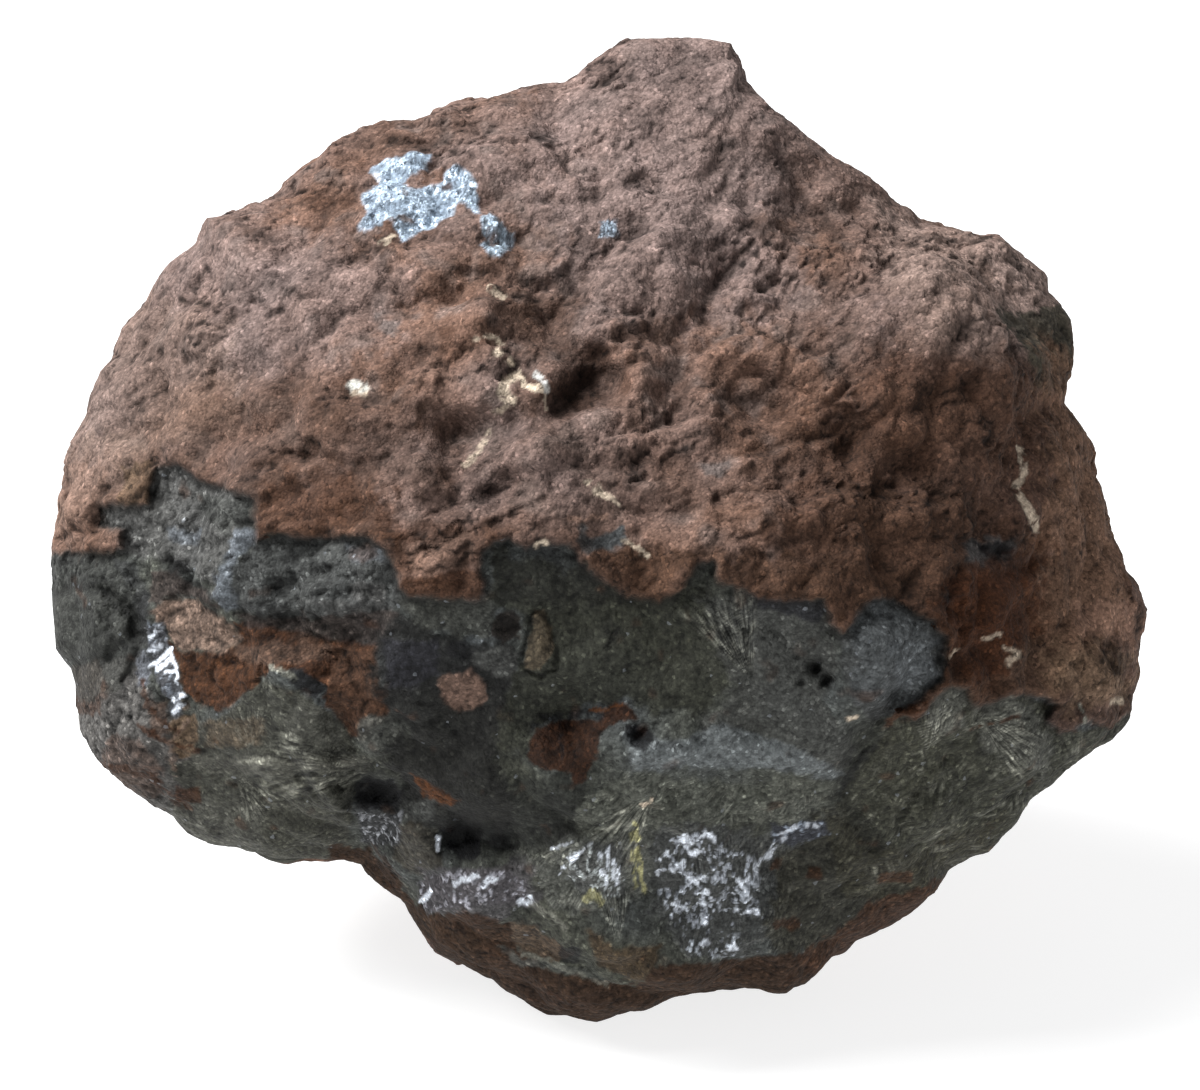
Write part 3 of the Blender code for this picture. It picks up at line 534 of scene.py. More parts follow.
      (5.4, -23.5), (1.6, -24.9), (0.3, -26.5), (0, -28.9), (-2, -32.6), (-3.4, -32.7), (-3.8, -31.2),
      (-6.8, -30.8), (-8.8, -29.9)], PATCH_RUST, 0.95, 0.35),
    ([(4.6, -25.4), (6.1, -24.6), (7.6, -26), (7.1, -27.2), (5.2, -27)], BLACK, 0.9, 0.35),
    ([(13.6, -7.5), (21.7, -6.1), (31.2, -8.2), (33.3, -12.2), (31.2, -21.1), (35.3, -26.5), (33.3, -31.2),
      (24.5, -29.9), (16.3, -27.2), (13.6, -23.8), (19, -19.7)], FAN_GREY, 0.85, 1.2),
    ([(21.1, -6.1), (31.2, -7.9), (30.6, -10.5), (23.8, -9.1), (21.1, -8.2)], VIOLET_ORE, 0.8, 0.6),
    ([(33.4, -12), (34.8, -11.1), (36, -9.1), (38, -7.6), (40.8, -7.3), (43.3, -9.1), (46.1, -10.5),
      (47.4, -12.6), (47.7, -15.6), (47.3, -18.5), (44.8, -20.5), (41.4, -22.8), (38, -24), (35.1, -21.7),
      (34, -18.3), (33.4, -14.9)], MID_GREY, 0.95, 0.4),
    ([(40.1, -12.9), (47.3, -12.9), (46.9, -18.3), (40.8, -19.7)], BLUISH, 0.3, 1),
    ([(5.4, -31.2), (34, -32.6), (31.2, -37.4), (0, -40.1), (-3.4, -38.7),
      (-1.4, -33.3)], BOWL_GREEN, 0.8, 1),
    # The band on the step faces up: its paleness is partly painted light, partly a paler ore.
    ([(3.4, -25.8), (10.9, -26.8), (17, -24.5), (21.7, -25.8), (25.1, -26.8), (31.9, -29.9), (34, -31.7),
      (31.2, -32.2), (24.5, -30.6), (13.6, -30.3), (5.4, -30.8)], BAND_GREY, 0.85, 0.8),
    ([(34, -30.6), (38, -26.5), (41.4, -24.5), (40.8, -27.6), (36.7, -31.2),
      (33.3, -34)], DARK_ORE, 0.7, 0.6),
    ([(-9.5, -42.8), (-3.4, -39.8), (8.2, -38.7), (8.2, -46.9), (1.4, -50.3),
      (-6.8, -48.9)], STRAW_GREY, 0.8, 1),
    ([(7.5, -39.4), (13.6, -38), (21.7, -38.7), (27.2, -40.8), (25.8, -48.2), (21.7, -55.7), (12.2, -55.7),
      (7.5, -49.6)], SPARKLE_BED, 0.85, 1.2),
    ([(41.4, -23.1), (46.2, -21.1), (48.4, -19.2), (51.1, -21.6), (52.2, -22.1), (57.9, -20.2),
      (62.8, -21.7), (61.4, -23.8), (63.5, -25.5), (68.2, -25), (72.6, -23), (88.3, -21.1), (67.9, -37.4),
      (54.3, -42.8), (46.2, -48.2), (34, -48.2), (31.2, -38.7), (34, -33.3),
      (38, -27.9)], MOSS_GREY, 0.9, 0.6),
    ([(48.9, -30.6), (55.7, -31.2), (58.4, -34.6), (51.6, -38.7), (46.2, -34.6)], OLIVE_GREY, 0.6, 1.2),
    ([(24.5, -42.8), (32.6, -34.6), (36.7, -40.1), (43.5, -41.4), (55.7, -36.7), (53, -41.4), (46.2, -45.5),
      (34, -54.3), (25.8, -56.4), (23.1, -51)], LOW_RIGHT_OLIVE, 0.8, 1.5),
    ([(62.2, -21.9), (65.9, -21.6), (66.6, -23.2), (62.8, -23.8)], BLACK, 0.85, 0.35),
    ([(63.3, -24), (65.5, -23.8), (65.8, -25.5), (63.6, -25.8)], DARK_RUST, 0.8, 0.35),
    ([(67.3, -22.1), (71.3, -21.7), (70.4, -24.7), (67.9, -24.9)], DARK_RUST, 0.7, 0.4),
    ([(24, -42.7), (25.4, -42.8), (25.1, -44.3), (23.9, -43.9)], RUST, 0.7, 0.5),
    ([(29.1, -43.6), (31, -43.9), (30.6, -45.5), (28.9, -45.1)], RUST, 0.7, 0.5),
    ([(39, -44.4), (43.2, -44.6), (42.8, -45.9), (38.7, -45.8)], DARK_RUST, 0.8, 0.5),
    ([(24, -50.8), (28.1, -50.8), (27.9, -52.2), (24.2, -52.2)], RUST, 0.7, 0.5),
    ([(-12.9, -51.6), (-9.5, -51.2), (-5.4, -54.3), (-3.4, -55.7), (-6.1, -57.1),
      (-10.9, -54.8)], RIM_OCHRE, 0.85, 0.5),
    ([(-1.4, -52.3), (2.7, -55), (9.2, -54.3), (8.2, -57.1), (5.4, -59.8),
      (0, -57.1)], RIM_RUST, 0.85, 0.6),
    ([(-36, -40.8), (-31, -41.4), (-27.9, -44.2), (-24.7, -48.9), (-21.1, -50.3), (-16.3, -50.1),
      (-12, -51.6), (-10.9, -55), (-5.4, -58.4), (5.4, -59.8), (8.8, -57.1), (13.6, -57.1), (23.1, -56.1),
      (27.2, -55.7), (34, -55.7), (35.3, -59.8), (27.2, -64.5), (0, -70), (-13.6, -67.3), (-29.9, -56.4),
      (-38, -45.5)], BROWN_RIM, 0.93, 0.6),
    ([(-13.6, -54.3), (-9.5, -56.4), (-2, -57.7), (0, -59.1), (-5.4, -58),
      (-11.5, -57.1)], RIM_GREY, 0.7, 0.5),
    ([(-5.2, -54.8), (-2.4, -54.5), (-2.2, -57.2), (-4.8, -56.9)], BLACK, 0.8, 0.35),
    ([(27.2, -56.1), (34, -51.6), (38, -48.2), (45.5, -46.2), (48.9, -44.2), (54.3, -41.4), (59.8, -42.8),
      (48.9, -52.3), (40.8, -57.7), (32.6, -61.8)], DARK_RUST, 0.9, 0.6),
    ([(3.9, -24.6), (6.2, -24.7), (7.9, -26.6), (6.5, -28.0), (4.6, -27.4)], BLACK, 0.9, 0.4),
    ([(35, -11), (38, -8), (43, -9.5), (46.5, -12), (47.3, -17), (45, -20.5), (40, -22.5),
      (35, -20)], KNOB_GREY, 0.6, 1.5),
    ([(-76, -6), (-72, -4.6), (-66, -5.4), (-62.8, -9), (-62, -14), (-64.5, -19), (-70, -21.5),
      (-76, -19)], DISC_GREY, 0.7, 0.8),
    ([(45, -23.5), (46.5, -20.5), (50, -18.5), (51.2, -21.5), (49.5, -25.5),
      (46.5, -26)], TUFT_GREY, 0.6, 1.0),
    ([(51.8, -22), (56, -20.5), (60, -22), (62.3, -27), (61, -31.5), (56, -30),
      (53, -26)], SHEAF_GREY, 0.6, 1.2),
]

# Lines of colour: places, half width, colour, share.
VEINS = [
    ([(-14.3, 34.8), (-12.6, 33.8)], 0.35, CREAM, 0.6),
    ([(-1, 8.6), (1.4, 6.9), (3, 5.6)], 0.32, CREAM, 0.6),
    ([(-3.5, 3.5), (1.4, 3.9)], 0.4, PINK, 0.7),
    ([(3.4, 1.2), (5.4, -0.3), (6.9, -1.6)], 0.35, CREAM, 0.7),
    ([(58.3, 13.3), (58.6, 10.2), (57.9, 7.7), (58.8, 5.4), (60.1, 2)], 0.45, CREAM, 0.75),
    ([(-8.2, -0.3), (-7.1, 0)], 0.45, CREAM, 0.95),
    ([(56.1, -13.9), (57.6, -14.8), (56.6, -16.2)], 0.45, CREAM, 0.6),
    ([(70.3, -21.3), (71.6, -21.2)], 0.45, CREAM, 0.7),
    ([(34.4, -23.5), (35.3, -23.3)], 0.45, CREAM, 0.8),
    ([(52.8, -12.6), (55.2, -12.2)], 0.35, CREAM, 0.55),
    ([(48.6, -15.2), (49.5, -14.2)], 0.35, CREAM, 0.6),
    ([(5.2, -38.3), (5.7, -42.5), (6.4, -47.1)], 0.38, YELLOW_FIBRE, 0.9),
    ([(4.7, -39.5), (5.0, -43.5), (5.2, -46.5)], 0.22, YELLOW_FIBRE, 0.7),
    ([(6.4, -35.6), (7.5, -34.4)], 0.28, CREAM, 0.9),
    ([(-62.5, -24.5), (-58.3, -27), (-54.5, -28)], 0.4, RUST, 0.8),
    ([(-56.2, -24), (-58.3, -27), (-57.6, -31)], 0.4, TAN, 0.6),
    ([(-62, -18.5), (-61.5, -22), (-57.5, -25.5)], 0.4, RUST, 0.7),
    ([(-67, -30), (-61, -31.5), (-56, -36)], 0.6, RUST, 0.6),
    ([(39.8, -24.3), (42, -22.3), (44.4, -21.7)], 0.5, RUST, 0.85),
    ([(51.0, -25.2), (55, -24.0), (58, -23.2)], 0.25, RUST, 0.8),
    ([(66.5, -22), (66.7, -24.2)], 0.25, PALE_FIBRE, 0.8),
    ([(-9.6, -48.6), (-6.2, -50.2), (-4.5, -52.2)], 0.45, PALE_FIBRE, 0.6),
    ([(-10, -55.6), (-5.5, -57.2), (-2.6, -58.6), (1.5, -60)], 0.3, PALE_FIBRE, 0.5),
    # Painted glints: highlights of crystal faces laid into the colour.
    ([(12.1, -39.8), (12.5, -40.9), (13.2, -41.8)], 0.6, GLINT, 1),
    ([(14.3, -39.8), (15.2, -39.3), (16, -40.1)], 0.35, GLINT, 0.8),
    ([(8.7, -42.8), (9.8, -41.7)], 0.3, GLINT, 0.7),
    ([(10.3, -44), (12, -43.1)], 0.3, GLINT, 0.8),
    ([(8.3, -44.7), (9.2, -43.9)], 0.25, GLINT, 0.6),
    ([(12.8, -45.5), (13.9, -46.1)], 0.35, GLINT, 0.9),
    ([(14.4, -45.5), (16.3, -45.5)], 0.3, GLINT, 0.8),
    ([(13.6, -47.6), (15.2, -47.1)], 0.35, GLINT, 0.9),
    ([(14.5, -48.9), (15.5, -48.1)], 0.3, GLINT, 0.8),
    ([(19.3, -45.5), (20.4, -46.9)], 0.35, GLINT, 0.9),
    ([(19, -47.6), (20.1, -47.3)], 0.3, GLINT, 0.8),
    ([(19.3, -49.6), (22, -50.1)], 0.35, GLINT, 0.8),
    ([(20.7, -48), (22, -47.3)], 0.25, GLINT, 0.7),
    ([(10.6, -48.9), (12.2, -49.6)], 0.3, GLINT, 0.8),
    ([(14.5, -50.5), (14.9, -51.5)], 0.4, GLINT, 0.9),
    ([(14.3, -54.3), (15.2, -54.1)], 0.3, GLINT, 0.7),
    ([(17.4, -55.3), (18.5, -55)], 0.35, GLINT, 0.9),
    ([(18.8, -54.1), (19.2, -55)], 0.25, GLINT, 0.8),
    ([(20.1, -46.3), (22.4, -43.1), (25.8, -39.8)], 0.3, GLINT, 0.45),
    ([(25.1, -39.4), (27.2, -38.2)], 0.35, GLINT, 0.5),
    ([(28.8, -38.2), (30.2, -38.5)], 0.3, GLINT, 0.6),
    ([(-21.7, -39.8), (-21.7, -41.4)], 0.3, GLINT, 0.8),
    ([(-23.9, -48.5), (-22.7, -47.1)], 0.35, GLINT, 0.8),
    ([(-19.7, -46.1), (-16.3, -45)], 0.35, GLINT, 0.6),
    ([(-15.4, -46.3), (-13.9, -45.2)], 0.45, GLINT, 0.8),
    ([(-10.6, -48.8), (-9.2, -48.1)], 0.5, GLINT, 1),
    ([(-61, -16.2), (-59.6, -15.4), (-58.4, -14.4)], 0.35, GLINT, 1),
    ([(-60.2, -16.8), (-59.1, -16.3), (-58, -15.4)], 0.3, GLINT, 0.9),
    ([(-59, -17.5), (-57.6, -16.7)], 0.25, GLINT, 0.9),
    ([(-58.2, -14.9), (-57.6, -16.7), (-57.3, -18.9)], 0.22, GLINT, 0.7),
    ([(-60.9, -12.4), (-59.8, -11.3)], 0.35, GLINT, 0.6),
    ([(-60.9, -14.3), (-59.5, -13.5)], 0.3, GLINT, 0.6),
    ([(-58, -21.1), (-56.9, -20.5)], 0.45, GLINT, 0.8),
    ([(-57.7, -22.7), (-57.1, -21.9)], 0.4, GLINT, 0.7),
    ([(-5.2, -44.4), (-2.4, -42.1)], 0.25, GLINT, 0.7),
    ([(-4.1, -43.1), (-0.8, -40.8)], 0.28, GLINT, 0.8),
    ([(-6, -41.4), (-3.3, -40.5)], 0.2, GLINT, 0.5),
    ([(0.5, -42.1), (0.8, -44.4)], 0.28, GLINT, 0.8),
    ([(1.6, -41.4), (1.6, -43.9)], 0.25, GLINT, 0.8),
    ([(2.4, -43.1), (2.2, -45.5)], 0.28, GLINT, 0.8),
    ([(1.1, -44.8), (1.4, -46.6)], 0.28, GLINT, 0.8),
    ([(3.1, -43.9), (2.7, -46.2)], 0.25, GLINT, 0.7),
    ([(-1.4, -48.2), (-0.4, -47.3), (0.4, -48.9)], 0.5, YELLOW_FIBRE, 0.7),
    ([(-44.8, -16.6), (-43.1, -16.7), (-41.2, -18.3)], 0.4, PALE_FIBRE, 0.8),
    ([(-8.8, -24.9), (-7.5, -23.5), (-3.4, -23.2), (0.7, -23)], 0.5, BLACK, 0.7),
    ([(-5, -24), (-4.6, -29.2)], 0.22, BLACK, 0.6),
    ([(-1.2, -22.6), (3.4, -21.9)], 0.25, ORANGE_RUST, 0.9),
    ([(-16.3, 27.9), (-14.9, 28.4), (-13.6, 27.9), (-12.8, 27)], 0.38, CREAM, 0.8),
    ([(-13.6, 26.2), (-12.8, 25.4), (-11.4, 24.7), (-10.6, 23.5), (-9.8, 22.1), (-8.4, 21.2),
      (-6.8, 21.3)], 0.42, CREAM, 0.95),
    ([(-6.8, 21.3), (-7.5, 22.7), (-8.2, 23.5)], 0.45, MILKY_VEIN, 0.9),
    ([(-7.1, 20.8), (-6.9, 18.6)], 0.25, CREAM, 0.6),
    ([(-11.5, 23), (-12.6, 21.9), (-12.8, 20.9), (-11.8, 19.7)], 0.75, CREAM, 0.8),
    ([(-11.8, 19.7), (-12.9, 18.6), (-13.9, 18.1)], 0.4, CREAM, 0.75),
    ([(-14.7, 15.4), (-15.5, 14), (-16.6, 11.8), (-17.9, 11.1)], 0.4, CREAM, 0.5),
    ([(-1.4, 8.6), (0, 7.2), (1.4, 6.5)], 0.32, CREAM, 0.7),
    ([(-23.8, 50.3), (-21.7, 50.7)], 0.9, BROWN_CRUST, 0.85),
    ([(-20.4, 49)], 0.7, RUST, 0.85),
    ([(-26.6, 44.3), (-25.4, 44.2)], 0.55, GREY_CRUST, 0.85),
    ([(-26.1, 48.2)], 0.5, GREY_CRUST, 0.6),
    ([(-31, 47.6), (-31.4, 46.5)], 0.4, DARK_BLUE, 0.85),
    ([(-30.6, 45.4), (-30.4, 43.3)], 0.45, DARK_BLUE, 0.85),
    ([(-18.8, 48.2), (-16.8, 48.6)], 0.3, DARK_BLUE, 0.7),
    ([(-27.7, 43.9), (-29.9, 42)], 0.5, BROWN_CRUST, 0.8),
    ([(-30.2, 50.4), (-29.9, 50.1)], 0.4, GLINT, 0.6),
    ([(-29.9, 41.3), (-29.1, 41.2), (-28, 42)], 0.25, CREAM, 0.8),
    ([(-15.8, 42), (-16.6, 43.5), (-16.4, 41.4)], 0.3, BLACK, 0.6),
    ([(-14.4, 43.1), (-13.9, 41.4)], 0.6, BROWN_CRUST, 0.7),
    ([(-33.3, 21.9), (-31.8, 21.6)], 0.75, MILKY_BEAD, 0.95),
]

# Fans of fibres: where they start, the way they point and their spread in degrees, nearest and farthest
# reach, paleness. The paleness is partly painted sheen of fans that catch the light.
FANS = [
    ((21.3, -18.6), 112, 30, 2.0, 17.5, 0.65),
    ((8.2, -33.2), 232, 27, 3.0, 17.5, 0.9),
    ((45.2, -29.0), 78, 30, 1.5, 10.5, 1.2),
    ((49.5, -25.3), 14, 14, 1.0, 13.0, 1.0),
    ((51.5, -22.5), -38, 26, 1.0, 16.0, 1.1),
    ((-29.0, -30.5), 181, 26, 3.0, 28.0, 0.35),
    ((-47.0, -28.0), 105, 45, 1.0, 8.0, 0.45),
    ((-49.5, -31.0), -52, 30, 1.0, 11.0, 0.45),
    ((3.0, -55.0), 97, 22, 2.0, 12.0, 0.4),
]
# Felts of fibres in bundles: closed edge, the way they point and its spread in degrees, bundle size,
# paleness, strength. Each bundle's paleness differs at random: partly painted sheen of bundles that catch
# the light.
FELTS = [
    ([(41, -23), (50, -18), (62, -20.5), (88, -22), (68, -37), (46, -48), (34, -48), (31, -39), (34, -33),
      (38, -28)], 50, 60, 3.6, 0.5, 0.9),
    ([(-56, -26), (-48, -20), (-36, -22), (-31, -31), (-33, -44), (-50, -45),
      (-60, -36)], 8, 40, 4.0, 0.25, 0.5),
    ([(-1, -31), (34, -32.5), (32, -38), (12, -41), (-4, -38)], 60, 60, 2.8, 0.4, 0.8),
    ([(14, -8), (31, -8), (34, -20), (34, -31), (16, -28), (12, -20)], 60, 70, 2.4, 0.15, 0.35),
    ([(-10, -42), (-3, -39), (8, -38.5), (8, -48), (-6, -50)], 38, 25, 3.0, 0.55, 1.0),
    ([(8, -39), (27, -39), (26, -56), (10, -56)], 85, 25, 2.4, 0.35, 0.9),
]
# Smoother parts of the ore: closed edge, softness, how much of the roughness goes.
CALM_AREAS = [
    ([(-76, -6), (-72, -4.6), (-66, -5.4), (-62.8, -9), (-62, -14), (-64.5, -19), (-70, -21.5),
      (-76, -19)], 0.8, 0.75),
    ([(-56, -24), (-48, -20), (-36, -22), (-31, -31), (-33, -46), (-50, -46), (-60, -36)], 1.5, 0.5),
    ([(13.6, -7.5), (21.7, -6.1), (31.2, -8.2), (34, -20), (30, -29), (16, -27), (12, -20)], 1.5, 0.4),
]
FIBRE_WIDTH = 0.36
FIBRE_LENGTH = 2.6
FAN_MIDDLE = 8.0

# A flake is higher than wide: the stretch across, up and out of the places that its cells are cut in.
FLAKE_STRETCH = (1.5, 0.75, 1.0)
FLAKE_TILT = 0.3

# Areas of crystal flakes: closed edge, flake size, share that shines, bright colour, dark colour. The bright
# colour of the shining flakes is a painted glint on top of their gloss; the sky-blue of the blue patch is
# partly a painted reflection of the light above.
FLAKES = [
    ([(-30.4, 51.6), (-29.3, 52.6), (-27.2, 52.7), (-25.8, 53.4), (-22.8, 53.5), (-22.6, 52.2),
      (-23.8, 51.5), (-25.5, 50.7), (-26.5, 49.9), (-25.5, 48.8), (-23.8, 49.2), (-21.6, 49.3),
      (-20.8, 50.7), (-19, 51.5), (-17.7, 51), (-16.6, 49.6), (-16.3, 47.6), (-16, 45.5), (-17.4, 46.1),
      (-18.8, 46.6), (-20.4, 45.2), (-22, 43.9), (-24.5, 42.8), (-26.5, 41.4), (-27.4, 43.1), (-28.5, 43.9),
      (-30.2, 43.1), (-31.5, 42.4), (-32.5, 43.3), (-31, 45), (-31.8, 46.2), (-32.2, 48), (-29.9, 48.9),
      (-29.5, 49.9), (-31, 50.7)], 0.8, 0.7, SKY_BLUE, (0.20, 0.25, 0.31)),
    ([(-16, 44.8), (-14.9, 45.2), (-13.9, 44.7), (-12.5, 43.3), (-12, 42.3), (-11.1, 42.5), (-12, 40.6),
      (-12.9, 39), (-14.7, 39.3), (-16, 41), (-14.9, 42.1),
      (-15.6, 43.1)], 0.8, 0.6, SKY_BLUE, (0.14, 0.17, 0.20)),
    ([(-61.4, -10.5), (-59.5, -10.5), (-58.7, -14), (-57.3, -16.7), (-56.7, -20.4), (-56.8, -23.2),
      (-57.7, -23.8), (-58.7, -21.7), (-59.1, -19.7), (-60.5, -17.3),
      (-61.4, -14.3)], 0.7, 0.25, (0.16, 0.18, 0.21), (0.045, 0.047, 0.052)),
    ([(7.9, -40.1), (10.9, -39.4), (16.6, -38.2), (17.4, -41.4), (21.7, -42.5), (22.8, -48.9),
      (19.7, -51.6), (15.6, -53), (10.9, -51.6),
      (8.4, -47.6)], 0.75, 0.3, (0.40, 0.43, 0.48), (0.050, 0.052, 0.050)),
    ([(11.4, -53), (19.7, -53), (19.7, -56.1),
      (12.2, -56.1)], 0.7, 0.3, (0.35, 0.38, 0.42), (0.050, 0.052, 0.050)),
    ([(-24.5, -46.2), (-19.7, -44.4), (-13.6, -43.9), (-9.5, -45.5), (-8.8, -48.9), (-13.6, -48.9),
      (-23.1, -49.9)], 0.8, 0.3, (0.34, 0.34, 0.38), (0.060, 0.056, 0.060)),
    ([(-3.4, -41.4), (3.4, -40.8), (4.1, -47.6), (-1.4, -48.2),
      (-4.1, -45.5)], 0.7, 0.35, (0.36, 0.39, 0.39), (0.070, 0.072, 0.068)),
    ([(23.8, -38), (31.2, -37.6), (31.9, -39.4), (27.2, -40.8),
      (24.2, -40.4)], 0.7, 0.3, (0.26, 0.30, 0.36), (0.030, 0.032, 0.038)),
    ([(-32.9, -36), (-26.8, -36.3), (-26.9, -40.8),
      (-31.9, -40.8)], 0.7, 0.3, (0.28, 0.29, 0.31), (0.030, 0.031, 0.032)),
    ([(0.5, 43.9), (2.7, 44.2), (3, 42.3), (0.5, 42)], 0.5, 0.7, SKY_BLUE, (0.10, 0.11, 0.13)),
]


# The material: crystals and grains in each metre, streaks in a fibre's width, depth of the grains in mm.
CRYSTALS_PER_METRE = 2100
GRAINS_PER_METRE = 3300
STREAKS_PER_FIBRE = 1.3
BUMP_DEPTH = 0.12
DULLNESS = 0.18
SHINE_COLOUR = (0.45, 0.48, 0.52, 1)

# The surroundings: places in metres, lamps as name, place, size and watts.
SKY_COLOUR = (0.95, 0.97, 1.0, 1)
SKY_STRENGTH = 0.32
FLOOR_REACH = 3.0
FLOOR_COLOUR = (0.40, 0.40, 0.40, 1)
FLOOR_GLOW = 0.80
LAMPS = [
    ("panel", (-0.7, 0.02, 1.02), 0.8, 37.0),
    ("fill", (0.2, -1.2, 0.6), 1.0, 1.4),
]
LAMP_AIM = (0.0, 0.0, 0.05)
SENSOR_WIDTH = 36.0


def scatter(i, j, k, seed):
    """Repeatable whole numbers from 0 to 2**32 for whole-number cells, by mixing their bits."""
    h = i.astype(np.uint32) * np.uint32(73856093)
    h ^= j.astype(np.uint32) * np.uint32(19349663)
    h ^= k.astype(np.uint32) * np.uint32(83492791)
    h += np.uint32(seed * 2654435 % 2**32)
    h = (h ^ (h >> np.uint32(15))) * np.uint32(2246822519)
    h = (h ^ (h >> np.uint32(13))) * np.uint32(3266489917)
    return h ^ (h >> np.uint32(16))


def part_of(number, which):
    """One of three independent values in 0 to 1 from a scattered whole number: ten of its bits."""
    return ((number >> np.uint32(10 * which)) & np.uint32(1023)) / np.float32(1023)


def swell(points, seed):
    """Smooth noise in -1 to 1: a random slope at each whole-number corner, blended across the cell."""
    cell = np.floor(points)
    part = (points - cell).astype(np.float32)
    fade = part * part * part * (part * (part * 6 - 15) + 10)
    cell = cell.astype(np.int64)
    total = np.zeros(len(points), np.float32)
    for dx in (0, 1):
        share_x = fade[:, 0] if dx else 1 - fade[:, 0]
        for dy in (0, 1):
            share_xy = share_x * (fade[:, 1] if dy else 1 - fade[:, 1])
            for dz in (0, 1):
                h = scatter(cell[:, 0] + dx, cell[:, 1] + dy, cell[:, 2] + dz, seed)
                rise = (2 * part_of(h, 0) - 1) * (part[:, 0] - dx)
                rise += (2 * part_of(h, 1) - 1) * (part[:, 1] - dy)
                rise += (2 * part_of(h, 2) - 1) * (part[:, 2] - dz)
                total += rise * share_xy * (fade[:, 2] if dz else 1 - fade[:, 2])
    return total


def cells(points, seed):
    """One random seed point per unit cell: the distances to the nearest and to the second nearest, the
    nearest one's scattered number, and the way to it."""
    base = np.floor(points)
    part = (points - base).astype(np.float32)
    base = base.astype(np.int64)
    nearest = np.full(len(points), 9.0, np.float32)
    second = nearest.copy()
    number = np.zeros(len(points), np.uint32)
    way = np.zeros((len(points), 3), np.float32)
    for step in np.ndindex(3, 3, 3):
        dx, dy, dz = step[0] - 1, step[1] - 1, step[2] - 1
        h = scatter(base[:, 0] + dx, base[:, 1] + dy, base[:, 2] + dz, seed)
        to = np.column_stack([part_of(h, 0), part_of(h, 1), part_of(h, 2)])
        to += np.array([dx, dy, dz], np.float32) - part
        gap = np.einsum("ij,ij->i", to, to)
        closer = gap < nearest
        second = np.where(closer, nearest, np.minimum(second, gap))
        nearest = np.where(closer, gap, nearest)
        number = np.where(closer, h, number)
        way[closer] = to[closer]
    return np.sqrt(nearest), np.sqrt(second), number, way


def smooth_step(low, high, value):
    """0 below low, 1 above high, and 3 t**2 - 2 t**3 between."""
    t = np.clip((value - low) / (high - low), 0, 1)
    return t * t * (3 - 2 * t)


def distance_to_line(across, up, line):
    """The distance of each place to an open line of (across, up) points, and which side it is on: more
    than 0 on its left."""
    nearest = np.full(across.shape, np.inf)
    side = np.zeros(across.shape)
    if len(line) == 1:
        return np.hypot(across - line[0][0], up - line[0][1]), side
    for (ax, ay), (bx, by) in zip(line, line[1:]):
        along = ((across - ax) * (bx - ax) + (up - ay) * (by - ay)) / ((bx - ax) ** 2 + (by - ay) ** 2)
        along = np.clip(along, 0, 1)
        gap_x = across - ax - along * (bx - ax)
        gap_y = up - ay - along * (by - ay)
        gap = np.hypot(gap_x, gap_y)
        closer = gap < nearest
        nearest = np.where(closer, gap, nearest)
        side = np.where(closer, np.sign((bx - ax) * gap_y - (by - ay) * gap_x), side)
    return nearest, side


def depth_inside(across, up, edge):
    """How far each place is inside a closed edge, less than 0 outside it."""
    odd = np.zeros(across.shape, bool)
    for (ax, ay), (bx, by) in zip(edge, edge[1:] + edge[:1]):
        crosses = (ay > up) != (by > up)
        with np.errstate(divide="ignore", invalid="ignore"):
            odd ^= crosses & (across < (bx - ax) * (up - ay) / (by - ay) + ax)
    gap, _ = distance_to_line(across, up, edge + edge[:1])
    return np.where(odd, gap, -gap)


def near_to(across, up, corners, margin):
    """The numbers of the places in the corners' bounding box, widened by a margin."""
    low = np.min(corners, axis=0) - margin
    high = np.max(corners, axis=0) + margin
    return np.flatnonzero((across > low[0]) & (across < high[0]) & (up > low[1]) & (up < high[1]))


def area(across, up, patches, edge, softness):
    """1 inside a closed edge and 0 outside: 0.5 + 0.5 * tanh(3 * (depth inside / softness + 0.9 *
    patches)), worked out up to twice the softness from the edge's bounding box."""
    share = np.zeros(len(across))
    near = near_to(across, up, edge, 2 * softness)
    depth = depth_inside(across[near], up[near], edge) / softness
    share[near] = 0.5 + 0.5 * np.tanh(3 * (depth + 0.9 * patches[near]))
    return share


def relief(lines, across, up):
    """The sum over the lines of height * exp(-(distance / half width)**2)."""
    total = np.zeros(len(across))
    for line, half_width, height in lines:
        near = near_to(across, up, line, 2.5 * half_width)
        gap, _ = distance_to_line(across[near], up[near], line)
        total[near] += height * np.exp(-((gap / half_width) ** 2))
    return total


def pushed(places, height):
    """Places moved along the line of sight by a height, so that the viewer sees them where they were."""
    nearer = (1 - (places[:, 2] + height) / VIEW_DISTANCE) / (1 - places[:, 2] / VIEW_DISTANCE)
    return np.column_stack([places[:, 0] * nearer, places[:, 1] * nearer, places[:, 2] + height])


def ledges(across, up):
    """The sum over the ledges of -drop * (0.5 + 0.5 * tanh(left distance / width)) * exp(-distance / reach),
    which fades out at the ends of each line."""
    total = np.zeros(len(across))
    for line, drop, width, reach in LEDGES:
        near = near_to(across, up, line, 3 * reach)
        gap, side = distance_to_line(across[near], up[near], line)
        first = np.hypot(across[near] - line[0][0], up[near] - line[0][1])
        last = np.hypot(across[near] - line[-1][0], up[near] - line[-1][1])
        ends = smooth_step(0.0, 2 * reach, np.minimum(first, last) - gap * 0.5)
        total[near] -= drop * (0.5 + 0.5 * np.tanh(side * gap / width)) * np.exp(-gap / reach) * ends
    return total


def wobbled(across, up, sizes):
    """Places shifted by noise of some sizes, so that an edge drawn with few points breaks naturally."""
    flat = np.column_stack([across, up, np.zeros(len(across))])
    shift_across = sum(push * swell(flat / size, seed) for size, push, seed in sizes)
    shift_up = sum(push * swell(flat / size, seed + 1) for size, push, seed in sizes)
    return across + shift_across, up + shift_up


